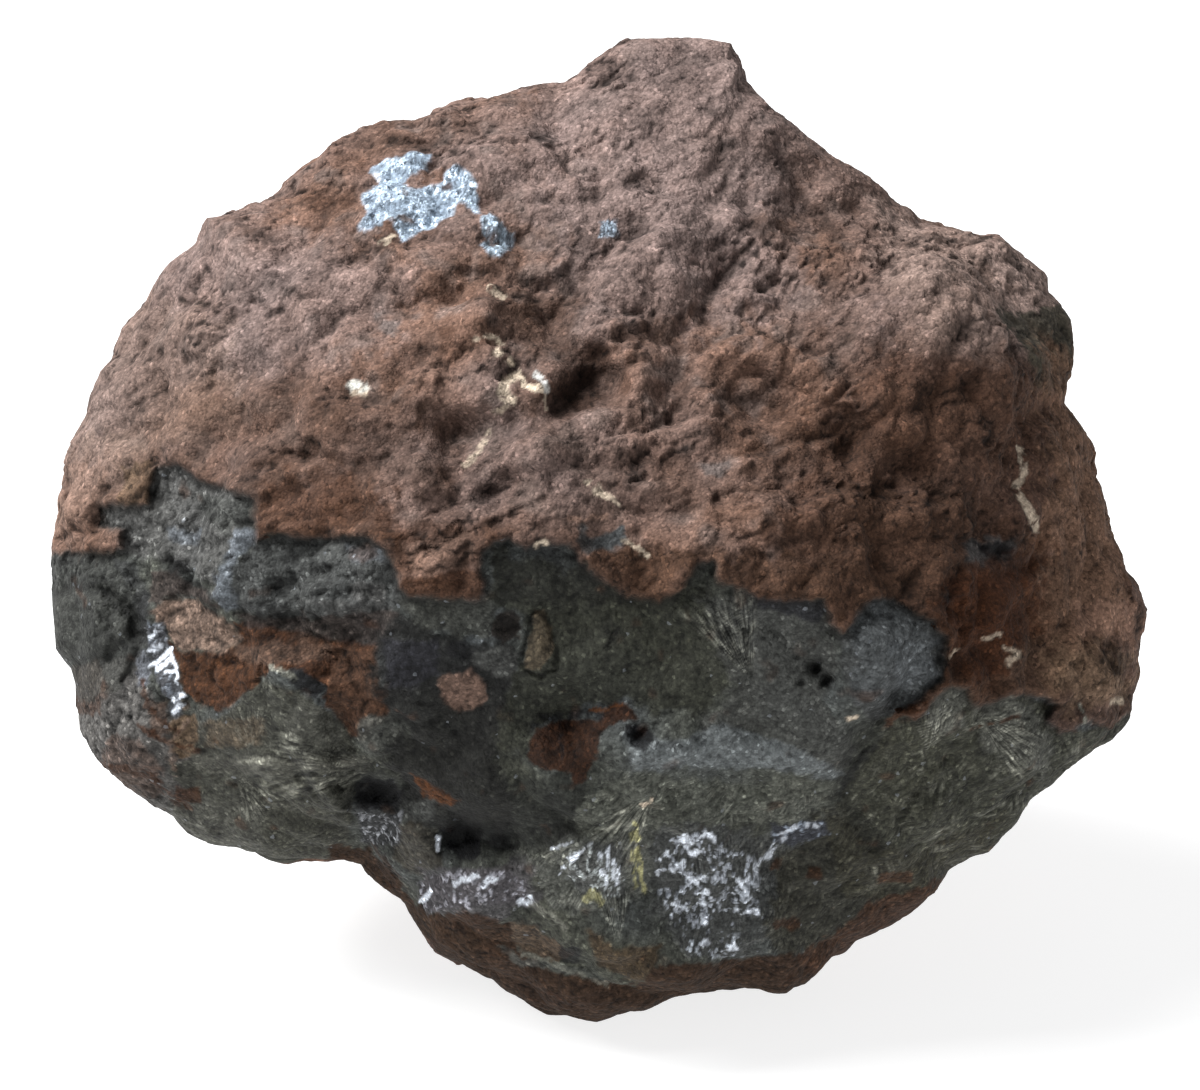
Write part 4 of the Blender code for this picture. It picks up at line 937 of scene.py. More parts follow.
def softest(faces, across, up):
    """The smooth minimum of the depths of several flat faces: -b * log(sum(exp(-depth / b)))."""
    total = sum(np.exp(-(out + per_across * across + per_up * up) / FACE_BLEND)
                for out, per_across, per_up in faces)
    return -FACE_BLEND * np.log(total)


def leaning_form(direction, with_shoulder=True):
    """Places on the plain lump, and how far each is turned to the front, for directions from its middle.

    The direction meets a rounded box |r|**n + |out|**n = 1; r is stretched to the outline and out to the
    depth of the broken faces, lowered behind the crest. Points nearer to the viewer are drawn in, so
    that from VIEW_DISTANCE they stay at their (across, up) place.
    """
    from_axis = np.hypot(direction[:, 0], direction[:, 1])
    out = direction[:, 2]
    size = (from_axis**ROUNDNESS + np.abs(out) ** ROUNDNESS) ** (1 / ROUNDNESS)
    corners = np.array(OUTLINE, float) - BODY_CENTRE
    reach = np.interp(
        np.arctan2(direction[:, 1], direction[:, 0]),
        np.arctan2(corners[:, 1], corners[:, 0]),
        np.hypot(corners[:, 0], corners[:, 1]),
        period=2 * math.pi,
    )
    across = BODY_CENTRE[0] + reach * direction[:, 0] / size
    up = BODY_CENTRE[1] + reach * direction[:, 1] / size
    front = softest(FRONT_FACES, across, up)
    back = softest(BACK_FACES, across, up)
    if with_shoulder:
        gap, side = distance_to_line(across, up, CREST)
        front -= SHOULDER_DROP * (0.5 + 0.5 * np.tanh(side * gap / SHOULDER_SOFTNESS))
    lift = out / size
    depth = np.where(out > 0, np.maximum(front, LEAST_DEPTH), np.maximum(back, LEAST_DEPTH)) * lift
    nearer = 1 - depth / VIEW_DISTANCE
    return np.column_stack([across * nearer, up * nearer, depth]), lift


def outward(direction):
    """Unit normals of the form without its shoulder, from the cross product of small steps along it."""
    helper = np.where(np.abs(direction[:, 2:3]) < 0.8, [[0.0, 0.0, 1.0]], [[1.0, 0.0, 0.0]])
    first = np.cross(helper, direction)
    first /= np.linalg.norm(first, axis=1, keepdims=True)
    second = np.cross(direction, first)

    def at(offset):
        moved = direction + NORMAL_STEP * offset
        return leaning_form(moved / np.linalg.norm(moved, axis=1, keepdims=True), with_shoulder=False)[0]

    normal = np.cross(at(first) - at(-first), at(second) - at(-second))
    return normal / np.linalg.norm(normal, axis=1, keepdims=True)


def seen(places):
    """The (across, up) places at which the viewer at VIEW_DISTANCE sees points of the leaning frame."""
    nearer = 1 - places[:, 2] / VIEW_DISTANCE
    return places[:, 0] / nearer, places[:, 1] / nearer


def broken_form(direction):
    """The lump with its swells, knobs and named relief: places, outward normals, how far to the front,
    and the height of the named relief."""
    places, lift = leaning_form(direction)
    normal = outward(direction)
    height = np.zeros(len(places))
    for size, rise, seed in SWELLS:
        height += rise * swell(places / size, seed)
    for size, rise, seed in KNOBS:
        height += rise * (np.abs(swell(places / size, seed)) - KNOB_MIDDLE)
    height *= OUTLINE_SHARE + (1 - OUTLINE_SHARE) * np.abs(direction[:, 2])
    places = places + normal * height[:, None]
    across, up = wobbled(*seen(places), RELIEF_SHIFTS)
    named = relief(RELIEF, across, up) * np.clip(lift, 0, 1)
    behind = relief(BACK_RELIEF, across, up) * np.clip(-lift, 0, 1)
    return pushed(places, named - behind), normal, lift, named + behind


def stood_up(places):
    """The leaning frame turned upright, cut flat at the base by drawing low points towards the middle."""
    across, up, out = places.T
    depth = up * math.sin(LOOK_DOWN) - out * math.cos(LOOK_DOWN)
    height = up * math.cos(LOOK_DOWN) + out * math.sin(LOOK_DOWN)
    share = np.where(height < BASE_LEVEL, BASE_LEVEL / np.minimum(height, BASE_LEVEL), 1.0)
    return np.column_stack([
        across * share - ACROSS_CENTRE,
        depth * share - DEPTH_CENTRE,
        height * share - BASE_LEVEL,
    ])


def painted(colour, over, share):
    """The colour with another laid over it, by a share from 0 to 1 for each place."""
    return colour + (np.asarray(over) - colour) * np.asarray(share)[:, None]


def strokes(places, size, length):
    """Places divided by size, and by length * size along the crust's grain: it rises to the right, by 20
    degrees in the middle and 0.2 degrees more for each mm to the right."""
    turn = np.radians(20 + 0.2 * np.clip(places[:, 0], -60, 60))
    along = places[:, 0] * np.cos(turn) + places[:, 1] * np.sin(turn)
    over = places[:, 1] * np.cos(turn) - places[:, 0] * np.sin(turn)
    return np.column_stack([along / (size * length), over / size, places[:, 2] / size])


def warped(places, shifts):
    """Places shifted by noise of some sizes, each way on its own."""
    return places + sum(push * np.column_stack([swell(places / size, seed + axis) for axis in range(3)])
                        for size, push, seed in shifts)


def chips(places, size, tilt, seed):
    """Flat chips: in each cell the ground leans a random way, by up to tilt. Also their random numbers."""
    near, second, number, way = cells(places / size, seed)
    lean = np.column_stack([part_of(number, which) - 0.5 for which in range(3)])
    return -2 * tilt * size * np.einsum("ij,ij->i", lean, way), number, second - near


def plates(places, size, length, rise, seed):
    """Broken plates and hollows, one in each cell, both with a step that faces down.

    A plate rises to its lower edge, a hollow deepens to its upper one: the height is +-rise * (0.5 +-
    0.5 * way down / radius) inside the radius. Also a painted shadow line just outside the step.
    """
    near, _, number, way = cells(strokes(places, size, length), seed)
    turn = 2.2 * (part_of(number, 1) - 0.5) - math.pi / 2
    radius = 0.28 + 0.34 * part_of(number, 0)
    kind = np.where(part_of(number, 2) > 0.45, 1.0, -1.0)
    down = np.clip(-kind * (way[:, 0] * np.cos(turn) + way[:, 1] * np.sin(turn)) / radius, -1, 1)
    height = rise * kind * smooth_step(0.07, -0.07, near - radius) * (0.5 + 0.5 * down)
    line = np.exp(-((((near - radius) * kind - 0.07) / 0.11) ** 2)) * np.clip(down, 0, 1)
    return height, line, number


def crust_surface(places):
    """Height and tone of the brown crust: knobs, hollows, broken plates of three sizes, grain and pits. The
    tone
    holds painted light and shade: lighter on the knobs, painted shade in the hollows and pits, and painted
    shadow lines at the plates' steps.
    """
    warp = warped(places, CRUST_SHIFTS)
    rough = 0.35 + 0.65 * smooth_step(-0.25, 0.3, swell(places / 9.0, 38))
    knobs = np.abs(swell(strokes(places, CRUST_KNOB_SIZE, STROKE_LENGTH), 31))
    height = CRUST_KNOB_RISE * (knobs - KNOB_MIDDLE)
    tone = 0.35 + 0.8 * height
    hollow = swell(strokes(warp, CRUST_HOLLOW_SIZE, STROKE_LENGTH), 34)
    hollow = rough * np.clip(hollow - 0.08, 0, 0.5)
    height -= CRUST_HOLLOW_DEPTH * hollow
    tone -= CRUST_HOLLOW_SHADE * hollow
    for size, rise, dark, seed in CRUST_PLATES:
        plate, line, number = plates(warp, size, CRUST_PLATE_LENGTH, rise, seed)
        height += rough * plate
        tone += 0.5 * (part_of(number, 0) - 0.5) - dark * rough * line
    for size, rise, shade, seed in CRUST_GRAINS:
        grains = swell(places / size, seed)
        height += rise * grains
        tone += shade * grains
    pit = pits(places, CRUST_PIT_SPACING, 0.4, 0.7, 36)
    return height - CRUST_PIT_DEPTH * pit, tone - PIT_SHADE[0] * pit


def pits(places, spacing, least, more, seed):
    """Round pits in two cells of five: exp(-(distance / radius)**2)."""
    near, _, number, _ = cells(places / spacing, seed)
    return np.exp(-((near * spacing / (least + more * part_of(number, 0))) ** 2)) * (part_of(number, 1) > 0.6)


def ore_surface(places):
    """Height and tone of the grey ore, rougher at the left: lumps, hollows, plates, bright grains, pits. The
    tone holds painted light and shade: lighter on the lumps, painted shade in the hollows and pits, and
    painted shadow lines at the plates' steps.
    """
    warp = warped(places, ORE_SHIFTS)
    rough = 0.35 + 0.65 * smooth_step(-22, -30, places[:, 0] + 6 * swell(places / 9, 50))
    height = ORE_KNOB_RISE * (np.abs(swell(places / ORE_KNOB_SIZE, 43)) - KNOB_MIDDLE)
    tone = 0.1 + 0.3 * height
    hollow = rough * np.clip(swell(warp / ORE_HOLLOW_SIZE, 48) - 0.12, 0, 0.5)
    height -= hollow
    tone -= ORE_HOLLOW_SHADE * hollow
    for size, rise, dark, seed in ORE_PLATES:
        plate, line, number = plates(warp, size, ORE_PLATE_LENGTH, rise, seed)
        height += rough * plate
        tone += 0.8 * rough * (part_of(number, 0) - 0.5) - dark * rough * line
    near, _, number, _ = cells(places / ORE_CRYSTAL_SIZE, 49)
    height += 0.08 * rough * (part_of(number, 0) - near)
    bright = 9 * np.clip(part_of(number, 1) - 0.86, 0, 1) * smooth_step(0.62, 0.3, near)
    tone += 0.9 * (part_of(number, 0) - 0.5) + (0.9 + 1.2 * rough) * bright
    for size, rise, shade, seed in ORE_GRAINS:
        grains = swell(places / size, seed)
        height += rise * grains
        tone += shade * grains
    pit = pits(places, ORE_PIT_SPACING, 0.25, 0.35, 46)
    return height - ORE_PIT_DEPTH * pit, tone - PIT_SHADE[1] * pit


def needles(line):
    """Noise along the fibres, whose coordinates are across them and along them."""
    return swell(line * (0.8, 1.2, 1), 90) + 0.5 * swell(line * (1.7, 2.0, 1), 92)


def fan_fibres(across, up, places, patches, wrap):
    """Felts and fans of fibres: how much each place belongs to one, their paleness, the fibres' height,
    and coordinates across and along them. A felt is many small bundles, each in a cell of its own with its
    own direction. A fan's coordinates are (angle * FAN_MIDDLE / FIBRE_WIDTH, distance / FIBRE_LENGTH)."""
    share = np.zeros(len(across))
    pale = np.zeros(len(across))
    thread = np.zeros(len(across))
    line = np.zeros((len(across), 3))
    for number, (edge, aim, spread, size, paleness, strength) in enumerate(FELTS):
        near = near_to(across, up, edge, 2.0)
        part = wrap[near] * area(across[near], up[near], patches[near], edge, 1.2)
        part *= strength * np.clip(0.55 + 1.5 * swell(places[near] / 3.0, 94), 0.1, 1)
        moved = warped(places[near], FELT_SHIFTS)
        _, _, bundle, _ = cells(moved / size, 300 + number)
        turn = np.radians(aim + spread * (2 * part_of(bundle, 0) - 1))
        own = np.column_stack([
            (up[near] * np.cos(turn) - across[near] * np.sin(turn)) / FIBRE_WIDTH,
            (across[near] * np.cos(turn) + up[near] * np.sin(turn)) / FIBRE_LENGTH,
            7.3 * number + 5 * part_of(bundle, 1),
        ])
        better = part > share[near]
        line[near[better]] = own[better]
        share[near] = np.where(better, part, share[near])
        thread[near] = np.where(better, needles(own), thread[near])
        pale[near] = np.where(better, paleness * (0.2 + 1.8 * part_of(bundle, 2) ** 2), pale[near])
    for number, ((start_x, start_y), aim, spread, nearest, farthest, paleness) in enumerate(FANS):
        distance = np.hypot(across - start_x, up - start_y)
        angle = np.arctan2(up - start_y, across - start_x) - math.radians(aim)
        angle = np.angle(np.exp(1j * angle))
        edge = 0.75 + 0.5 * np.abs(swell(np.column_stack([angle * 6, angle * 0, angle * 0 + number]), 81))
        part = smooth_step(1.0, 0.7, np.abs(angle) / math.radians(spread))
        part *= smooth_step(nearest * 0.5, nearest, distance)
        part *= smooth_step(1.0, 0.7, distance / (farthest * edge))
        part *= wrap
        better = np.flatnonzero(part > 0.35 * share)
        line[better] = np.column_stack([angle * FAN_MIDDLE / FIBRE_WIDTH, distance / FIBRE_LENGTH,
                                        np.full(len(across), 7.3 * number)])[better]
        thread[better] = needles(line[better])
        share[better] = part[better]
        pale[better] = paleness
    return share, pale, thread, line


def surface(direction):
    """The finished skin for unit directions: places, colours, make (gloss, fibre, sand) and streaks."""
    places, normal, lift, named = broken_form(direction)
    across, up = seen(places)
    wrap = np.clip(0.5 + (places[:, 2] + ORE_WRAP) / ORE_WRAP_SOFTNESS, 0, 1)
    loose = wobbled(across, up, LOOSE_SHIFTS)
    tight = wobbled(across, up, TIGHT_SHIFTS)
    patches = swell(places / 2.2, 161) + 0.8 * swell(places / 0.95, 162)
    wrap_edge = places[:, 2] + ORE_WRAP + 6 * swell(places / 9, 163)
    inside_ore = np.minimum(depth_inside(*tight, ORE_EDGE), wrap_edge)
    ore = 0.5 + 0.5 * np.tanh(inside_ore / CRUST_EDGE_SOFTNESS)

    # The back has ore of its own in two broken patches.
    behind = smooth_step(0.0, 0.2, -lift)
    for middle_x, middle_y, wide, high in BACK_ORE:
        gap = np.hypot((loose[0] - middle_x) / wide, (loose[1] - middle_y) / high)
        gap += 0.55 * swell(places / 8, 165) + 0.12 * patches
        ore = np.maximum(ore, behind * smooth_step(1.03, 0.97, gap))

    crust_height, crust_tone = crust_surface(places)
    ore_height, ore_tone = ore_surface(places)
    for edge, softness, share in CALM_AREAS:
        calm = share * area(*loose, patches, edge, softness)
        ore_height *= 1 - calm
        ore_tone *= 1 - 0.6 * calm
    lip_at, lip_width, lip_rise = LIP
    shade_at, shade_width, shade = LIP_SHADE
    lip = lip_rise * np.exp(-((inside_ore + lip_at) / lip_width) ** 2)
    under_lip = shade * np.exp(-((inside_ore - shade_at) / shade_width) ** 2)
    height = crust_height * (1 - ore) + ore_height * ore + lip
    step = -CRUST_THICKNESS * ore * np.clip(1.5 * lift, 0, 1)

    broad = swell(places / 22, 61) + 0.6 * swell(places / 8, 62)
    patchy = swell(places / 5.5, 63) + 0.7 * swell(places / 2.4, 64)
    crust_colour = np.full((len(places), 3), BROWN_CRUST)
    crust_colour = painted(crust_colour, PALE_CRUST, np.clip(0.35 + 0.9 * broad, 0, 1))
    crust_colour = painted(crust_colour, RUST, np.clip(1.6 * patchy - 0.4, 0, 0.45))
    crust_colour = painted(crust_colour, GREY_CRUST, np.clip(-1.8 * patchy - 0.2, 0, 0.6))
    for edge, over, share, softness in CRUST_AREAS:
        crust_colour = painted(crust_colour, over, share * wrap * area(*loose, patches, edge, softness))
    crust_colour = painted(crust_colour, DARK_RUST, 0.4 * np.exp(-((inside_ore + 1.0) / 1.6) ** 2))
    ore_colour = np.full((len(places), 3), GREEN_GREY)
    ore_colour = painted(ore_colour, BLUE_GREY, np.clip(0.5 + 1.2 * broad, 0, 1))
    brown = np.zeros(len(places))
    for edge, over, share, softness in ORE_AREAS:
        places_at = tight if softness < 0.9 else loose
        on = share * wrap * area(*places_at, patches, edge, softness)
        ore_colour = painted(ore_colour, over, on)
        brown = brown * (1 - on) + on * (over in BROWN_KINDS)
    rusty = np.clip(2.2 * (swell(places / 4.0, 65) + 0.5 * swell(places / 1.8, 66)) - 0.8, 0, 0.5)
    ore_colour = painted(ore_colour, RUST, rusty)
    colour = painted(crust_colour, ore_colour, ore)

    fibre, pale, thread, line = fan_fibres(across, up, places, patches, wrap)
    fibre *= ore * (1 - brown)
    height += fibre * NEEDLE_RISE * thread
    # Pale fibres: their paleness is partly painted sheen of fibres that catch the light.
    colour = painted(colour, PALE_FIBRE, np.clip(fibre * pale * (0.2 + 1.4 * thread), 0, 1))
    tone = crust_tone * (1 - ore) + ore_tone * ore * (1 - 0.4 * fibre) + 1.5 * fibre * thread
    colour *= np.clip(1 + TONE_STRENGTH * tone, 0.2, 2.4)[:, None]
    shadow = np.exp(0.06 * np.minimum(named, 0)) * (1 - under_lip * np.clip(lift, 0, 1))
    colour *= shadow[:, None]

    sand = np.maximum(1 - ore, brown)
    gloss = 0.3 * (1 - sand)
    fine = relief(FINE_RELIEF, *tight) * wrap
    # Painted shade in the fine hollows and grooves.
    colour *= np.exp(0.5 * np.minimum(fine, 0))[:, None]
    step += (fine + ledges(*loose) * wrap) * np.clip(lift, 0, 1)

    # Flakes: the shining ones get a painted glint in their colour on top of their gloss.
    for number, (edge, size, bright_share, bright, dark) in enumerate(FLAKES):
        near = near_to(*tight, edge, 1.0)
        on = wrap[near] * smooth_step(-0.3, 0.3, depth_inside(tight[0][near], tight[1][near], edge))
        lean, chance, gap = chips(places[near] * FLAKE_STRETCH, size, FLAKE_TILT, 101 + number)
        crowded = np.clip(0.9 + 2.8 * swell(places[near] / 2.4, 69), 0.1, 2)
        shines = (part_of(chance, 2) < bright_share * crowded) * smooth_step(0.0, 0.08, gap)
        flake = painted(np.full((len(near), 3), dark), bright, shines * (0.3 + 0.7 * part_of(chance, 0)))
        flake *= (1 + 0.8 * swell(places[near] / 0.6, 68))[:, None]
        colour[near] = painted(colour[near], np.zeros(3), on) + flake * on[:, None]
        gloss[near] = gloss[near] * (1 - on) + on * (0.3 + 0.5 * shines)
        sand[near] *= 1 - on
        height[near] += on * (lean + 0.15 * shines)

    for line_places, half_width, over, share in VEINS:
        near = near_to(*tight, line_places, 3 * half_width)
        gap, _ = distance_to_line(tight[0][near], tight[1][near], line_places)
        broken = smooth_step(-0.35, -0.05, swell(places[near] / 1.1, 67))
        on = share * smooth_step(1.4, 0.6, gap / half_width) * wrap[near] * broken
        colour[near] = painted(colour[near], over, on)

    height *= 0.3 + 0.7 * np.abs(lift)

    places = pushed(places, step) + normal * height[:, None]
    return places, np.clip(colour, 0.002, 0.9), np.column_stack([gloss, fibre, sand]), line


def cap_directions(cells_per_side, reach, facing):
    """Directions on a square grid wrapped onto a cap of the sphere round the out axis.

    The square (s, t) becomes the disc (s * sqrt(1 - t*t/2), t * sqrt(1 - s*s/2)), and the disc's radius
    becomes the angle from the axis, up to reach.
    """
    line = np.linspace(-1, 1, cells_per_side + 1)
    s, t = np.meshgrid(line, line)
    x = s * np.sqrt(1 - t * t / 2)
    y = t * np.sqrt(1 - s * s / 2)
    radius = np.hypot(x, y)
    angle = radius * reach
    ratio = np.divide(np.sin(angle), radius, out=np.full(radius.shape, reach), where=radius > 0)
    return np.stack([x * ratio, y * ratio, facing * np.cos(angle)], axis=-1)


def rim_numbers(side):
    """The row and column of each point round the edge of a square grid, in order."""
    line = np.arange(side)
    rows = np.concatenate([0 * line[:-1], line[:-1], 0 * line[:-1] + side - 1, line[:0:-1]])
    columns = np.concatenate([line[:-1], 0 * line[:-1] + side - 1, line[:0:-1], 0 * line[:-1]])
    return rows, columns


def put_together(name, grid, colour, make, line, material):
    """A closed wedge of the lump: its skin is a grid, and a cone runs in from the rim to the middle."""
    rows, columns = grid.shape[:2]
    number = np.arange(rows * columns).reshape(rows, columns)
    quads = np.stack([number[:-1, :-1], number[:-1, 1:], number[1:, 1:], number[1:, :-1]], axis=-1)
    quads = quads.reshape(-1, 4)
    rim = number[rim_numbers(rows)]
    middle = rows * columns
    cone = np.column_stack([np.roll(rim, -1), rim, np.full(len(rim), middle)])
    points = np.vstack([grid.reshape(-1, 3), [[0.0, 0.0, -BASE_LEVEL]]])
    corner = points[quads]
    turned = np.einsum("ij,ij->i", np.cross(corner[:, 2] - corner[:, 0], corner[:, 3] - corner[:, 1]),
                       corner.mean(axis=1) - points[middle])
    if turned.sum() < 0:
        quads = quads[:, ::-1]
        cone = cone[:, ::-1]
    mesh = bpy.data.meshes.new(name)
    mesh.vertices.add(len(points))
    mesh.vertices.foreach_set("co", (points * MM).ravel())
    loops = np.concatenate([quads.ravel(), cone.ravel()])
    starts = np.concatenate([np.arange(len(quads)) * 4, len(quads) * 4 + np.arange(len(cone)) * 3])
    mesh.loops.add(len(loops))
    mesh.loops.foreach_set("vertex_index", loops)
    mesh.polygons.add(len(starts))
    mesh.polygons.foreach_set("loop_start", starts)
    mesh.update(calc_edges=True)
    mesh.validate()
    edges = np.empty(len(mesh.edges) * 2, np.int32)
    mesh.edges.foreach_get("vertices", edges)
    on_rim = np.zeros(len(points), bool)
    on_rim[rim] = True
    sharp = mesh.attributes.new("sharp_edge", "BOOLEAN", "EDGE")
    sharp.data.foreach_set("value", on_rim[edges.reshape(-1, 2)].all(axis=1))
    for label, values in (("tone", colour), ("make", make), ("streak", line)):
        layer = mesh.attributes.new(label, "FLOAT_VECTOR", "POINT")
        padded = np.vstack([values.reshape(-1, 3), np.zeros((1, 3))])
        layer.data.foreach_set("vector", padded.astype(np.float32).ravel())
    mesh.shade_smooth()
    mesh.materials.append(material)
    piece = bpy.data.objects.new(name, mesh)
    bpy.context.scene.collection.objects.link(piece)
    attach(piece, "root")
    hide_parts("specimen")
    return piece


class Nodes:
    """Short ways to add shader nodes to one material and to join them."""

    def __init__(self, material):
        material.use_nodes = True
        self.tree = material.node_tree
        self.shader = self.tree.nodes["Principled BSDF"]

    def add(self, kind, links=(), values=(), **settings):
        node = self.tree.nodes.new("ShaderNode" + kind)
        for name, value in settings.items():
            setattr(node, name, value)
        for name, value in dict(values).items():
            node.inputs[name].default_value = value
        for name, source in dict(links).items():
            self.tree.links.new(source, node.inputs[name])
        return node

    def attribute(self, name):
        return self.add("Attribute", attribute_name=name).outputs["Vector"]

    def noise(self, vector, scale):
        return self.add("TexNoise", {"Vector": vector}, {"Scale": scale, "Detail": 1.0}).outputs["Fac"]

    def math(self, operation, first, second=0.0, third=0.0):
        """One operation on numbers or on sockets."""
        node = self.add("Math", operation=operation)
        for slot_number, value in enumerate((first, second, third)):
            if isinstance(value, (int, float)):
                node.inputs[slot_number].default_value = value
            else:
                self.tree.links.new(value, node.inputs[slot_number])
        return node.outputs["Value"]

    def scaled(self, vector, by):
        node = self.add("VectorMath", {0: vector}, operation="SCALE")
        if isinstance(by, (int, float)):
            node.inputs["Scale"].default_value = by
        else:
            self.tree.links.new(by, node.inputs["Scale"])
        return node.outputs["Vector"]


def rock_material():
    """Brown crust and grey ore in one.

    Colour comes from the skin, times fine noise, sandy grains and fibres. The ore's small crystals each
    turn the light their own way, and a few of them shine.
    """
    made = bpy.data.materials.new("crust_and_ore")
    n = Nodes(made)
    tone = n.attribute("tone")
    make = n.add("SeparateXYZ", {"Vector": n.attribute("make")})
    gloss, fibre, sand = make.outputs
    place = n.add("TexCoord").outputs["Object"]

    # Each cell is a grain of crust or a crystal of ore with a brightness of its own.
    crystals = n.add("TexVoronoi", {"Vector": place}, {"Scale": CRYSTALS_PER_METRE}, feature="F1")
    chance = n.add("SeparateXYZ", {"Vector": crystals.outputs["Color"]}).outputs
    grain = n.noise(place, GRAINS_PER_METRE)
    streak = n.noise(n.attribute("streak"), STREAKS_PER_FIBRE)

    own = n.math("MULTIPLY_ADD", chance["Y"], 0.46, 0.77)
    own = n.math("MULTIPLY", own, n.math("MULTIPLY_ADD", crystals.outputs["Distance"], -0.4, 1.18))
    own = n.math("MULTIPLY", own, n.math("MULTIPLY_ADD", grain, 1.0, 0.5))
    dark_grain = n.math("MULTIPLY_ADD", n.math("LESS_THAN", chance["Z"], 0.07), -0.4, 1.0)
    fleck = n.math("GREATER_THAN", chance["Z"], 0.955)
    fleck = n.math("MULTIPLY", fleck, n.math("MULTIPLY_ADD", sand, -0.5, 1.0))
    fleck = n.math("ADD", fleck, dark_grain)
    shade = n.math("MULTIPLY", own, fleck)
    stringy = n.math("MULTIPLY_ADD", n.math("SUBTRACT", streak, 0.48), n.math("MULTIPLY", fibre, 3.4), 1.0)
    shade = n.math("MULTIPLY", shade, n.math("MAXIMUM", stringy, 0.4))

    shining = n.math("GREATER_THAN", chance["X"], n.math("MULTIPLY_ADD", gloss, -0.012, 1.0))
    colour = n.scaled(tone, shade)
    colour = n.add("Mix", {0: n.math("MULTIPLY", shining, 0.2), 6: colour}, {7: SHINE_COLOUR},
                   data_type="RGBA").outputs[2]
    metal = n.math("MAXIMUM", n.math("MULTIPLY", n.math("SUBTRACT", gloss, 0.6), 2.0), shining)
    metal = n.math("MINIMUM", n.math("MAXIMUM", metal, 0.0), 1.0)
    rough = n.math("MULTIPLY_ADD", gloss, -0.62, 0.95)
    rough = n.math("MAXIMUM", n.math("MULTIPLY_ADD", shining, -0.25, rough), 0.2)
    n.tree.links.new(colour, n.shader.inputs["Base Color"])
    n.tree.links.new(rough, n.shader.inputs["Roughness"])
    n.tree.links.new(metal, n.shader.inputs["Metallic"])

    bumps = n.math("MULTIPLY_ADD", crystals.outputs["Distance"], -1.0, grain)
    bump = n.add("Bump", {"Height": bumps}, {"Distance": BUMP_DEPTH * MM, "Strength": 1.0}).outputs["Normal"]
    n.shader.inputs["Specular IOR Level"].default_value = DULLNESS
    jitter = n.add("VectorMath", {0: crystals.outputs["Color"]}, {1: (0.5, 0.5, 0.5)}, operation="SUBTRACT")
    jitter = n.scaled(jitter.outputs["Vector"], n.math("MULTIPLY", gloss, 0.9))
    turned = n.add("VectorMath", {0: bump, 1: jitter}, operation="ADD").outputs["Vector"]
    turned = n.add("VectorMath", {0: turned}, operation="NORMALIZE").outputs["Vector"]
    n.tree.links.new(turned, n.shader.inputs["Normal"])
    return made


def lump():
    """The lump's skin: the front's tiles cut from one fine grid, and the back, which meets their rim."""
    material = rock_material()
    fine = TILES_PER_SIDE * TILE_CELLS
    front = cap_directions(fine, FRONT_REACH, 1)
    back = cap_directions(TILE_CELLS, math.pi - FRONT_REACH, -1)
    skins = []
    for grid in (front, back):
        places, *looks = surface(grid.reshape(-1, 3))
        side = grid.shape[0]
        skins.append([values.reshape(side, side, 3) for values in (stood_up(places), *looks)])
    low = np.min([skin[0].min(axis=(0, 1)) for skin in skins], axis=0)
    high = np.max([skin[0].max(axis=(0, 1)) for skin in skins], axis=0)
    box_low, box_high = np.array(CAD_BOX[0]) / MM, np.array(CAD_BOX[1]) / MM
    print("skin", low.round(2), high.round(2), "box", box_low.round(2), box_high.round(2))
    fit = np.minimum(1.0, (box_high - box_low) / (high - low))
    for skin in skins:
        skin[0] = (skin[0] - low) * fit + np.maximum(low, box_low)

    # Some points of the front's rim are the back's rim, and the points between lie on its edges.
    rows, columns = rim_numbers(fine + 1)
    rim = skins[0][0][rows, columns]
    shared = rim[::TILES_PER_SIDE]
    for between in range(1, TILES_PER_SIDE):
        share = between / TILES_PER_SIDE
        rim[between::TILES_PER_SIDE] = shared * (1 - share) + np.roll(shared, -1, axis=0) * share
    skins[0][0][rows, columns] = rim
    skins[1][0][rim_numbers(TILE_CELLS + 1)] = shared

    for row in range(TILES_PER_SIDE):
        rows = slice(row * TILE_CELLS, (row + 1) * TILE_CELLS + 1)
        for column in range(TILES_PER_SIDE):
            columns = slice(column * TILE_CELLS, (column + 1) * TILE_CELLS + 1)
            tile = [skin[rows, columns] for skin in skins[0]]
            put_together(f"front_row_{row + 1}_tile_{column + 1}", *tile, material)
    put_together("back_and_base", *skins[1], material)


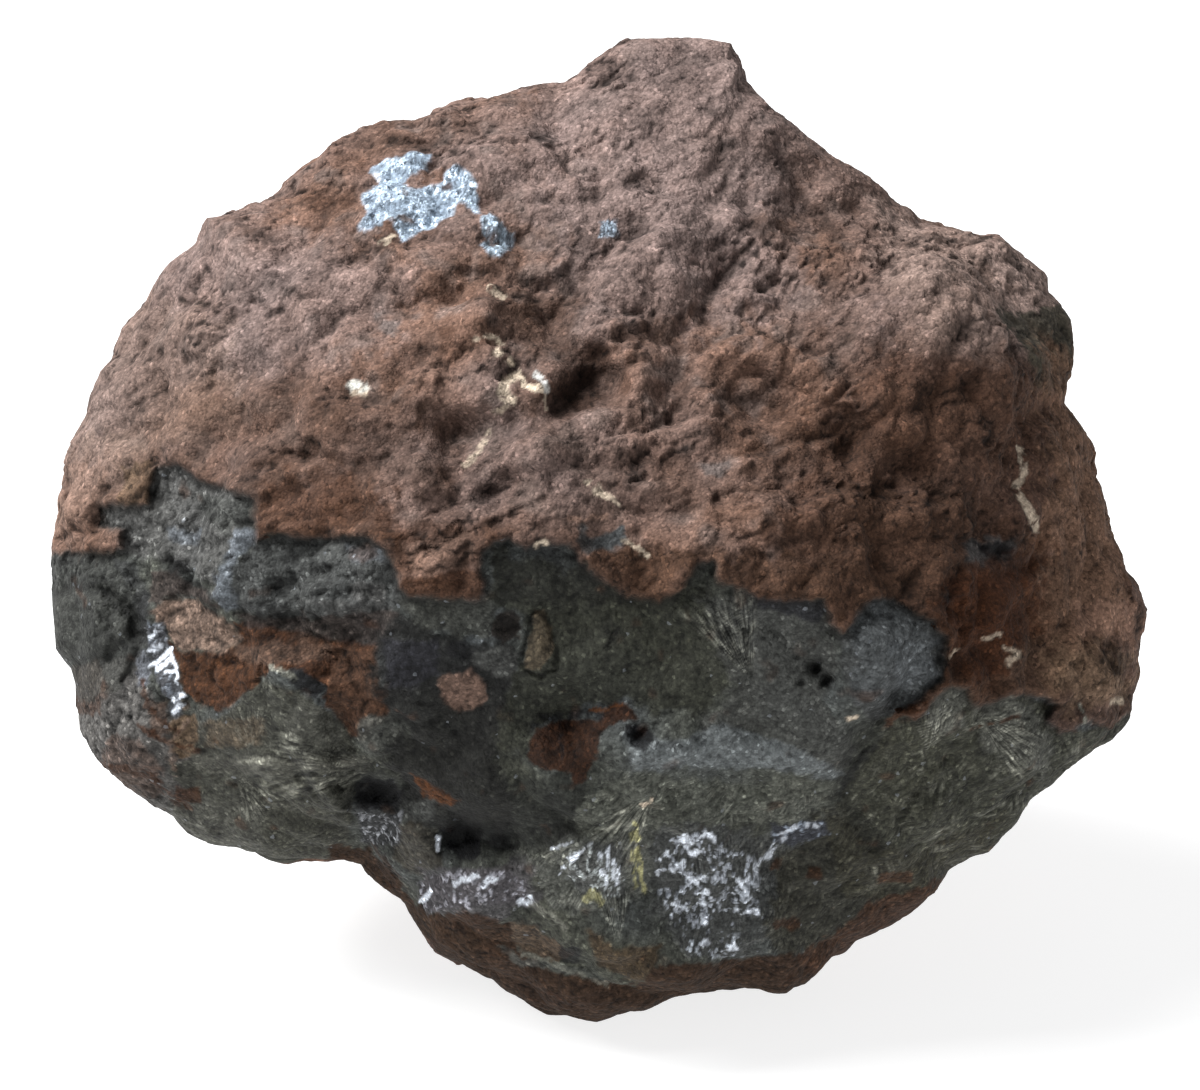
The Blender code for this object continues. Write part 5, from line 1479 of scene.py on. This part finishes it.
def floor_and_lights():
    """A pale floor, a large soft light above, leaning to the left, a weak one in front, and a pale sky."""
    world = bpy.data.worlds.new("studio")
    world.use_nodes = True
    sky = world.node_tree.nodes["Background"].inputs
    sky["Color"].default_value = SKY_COLOUR
    sky["Strength"].default_value = SKY_STRENGTH
    bpy.context.scene.world = world
    mesh = bpy.data.meshes.new("floor")
    corners = [(-FLOOR_REACH, -FLOOR_REACH, 0), (FLOOR_REACH, -FLOOR_REACH, 0),
               (FLOOR_REACH, FLOOR_REACH, 0), (-FLOOR_REACH, FLOOR_REACH, 0)]
    mesh.from_pydata(corners, [], [(0, 1, 2, 3)])
    floor = bpy.data.objects.new("floor", mesh)
    bpy.context.scene.collection.objects.link(floor)
    paint = bpy.data.materials.new("pale_floor")
    paint.use_nodes = True
    finish = paint.node_tree.nodes["Principled BSDF"].inputs
    finish["Base Color"].default_value = FLOOR_COLOUR
    finish["Roughness"].default_value = 0.9
    finish["Emission Color"].default_value = (1, 1, 1, 1)
    finish["Emission Strength"].default_value = FLOOR_GLOW
    mesh.materials.append(paint)
    for name, place, size, power in LAMPS:
        light = bpy.data.lights.new(name, "AREA")
        light.size = size
        light.energy = power
        lamp = bpy.data.objects.new(name, light)
        lamp.location = place
        aim = np.array(LAMP_AIM) - np.array(place)
        yaw = math.atan2(aim[1], aim[0])
        lamp.rotation_euler = (math.acos(-aim[2] / np.linalg.norm(aim)), 0, yaw - math.pi / 2)
        bpy.context.scene.collection.objects.link(lamp)


def camera():
    """The viewer's place: VIEW_DISTANCE away and LOOK_DOWN above, aimed at the picture plane's middle."""
    lens = bpy.data.cameras.new("view")
    lens.sensor_width = SENSOR_WIDTH
    lens.lens = SENSOR_WIDTH * VIEW_DISTANCE / FRAME_WIDTH
    eye = bpy.data.objects.new("view", lens)
    distance = VIEW_DISTANCE * MM
    eye.location = (
        -ACROSS_CENTRE * MM,
        -DEPTH_CENTRE * MM - distance * math.cos(LOOK_DOWN),
        -BASE_LEVEL * MM + distance * math.sin(LOOK_DOWN),
    )
    eye.rotation_euler = (math.pi / 2 - LOOK_DOWN, 0, 0)
    bpy.context.scene.collection.objects.link(eye)
    bpy.context.scene.camera = eye


lump()
floor_and_lights()
camera()
bpy.context.scene.view_settings.view_transform = "Standard"
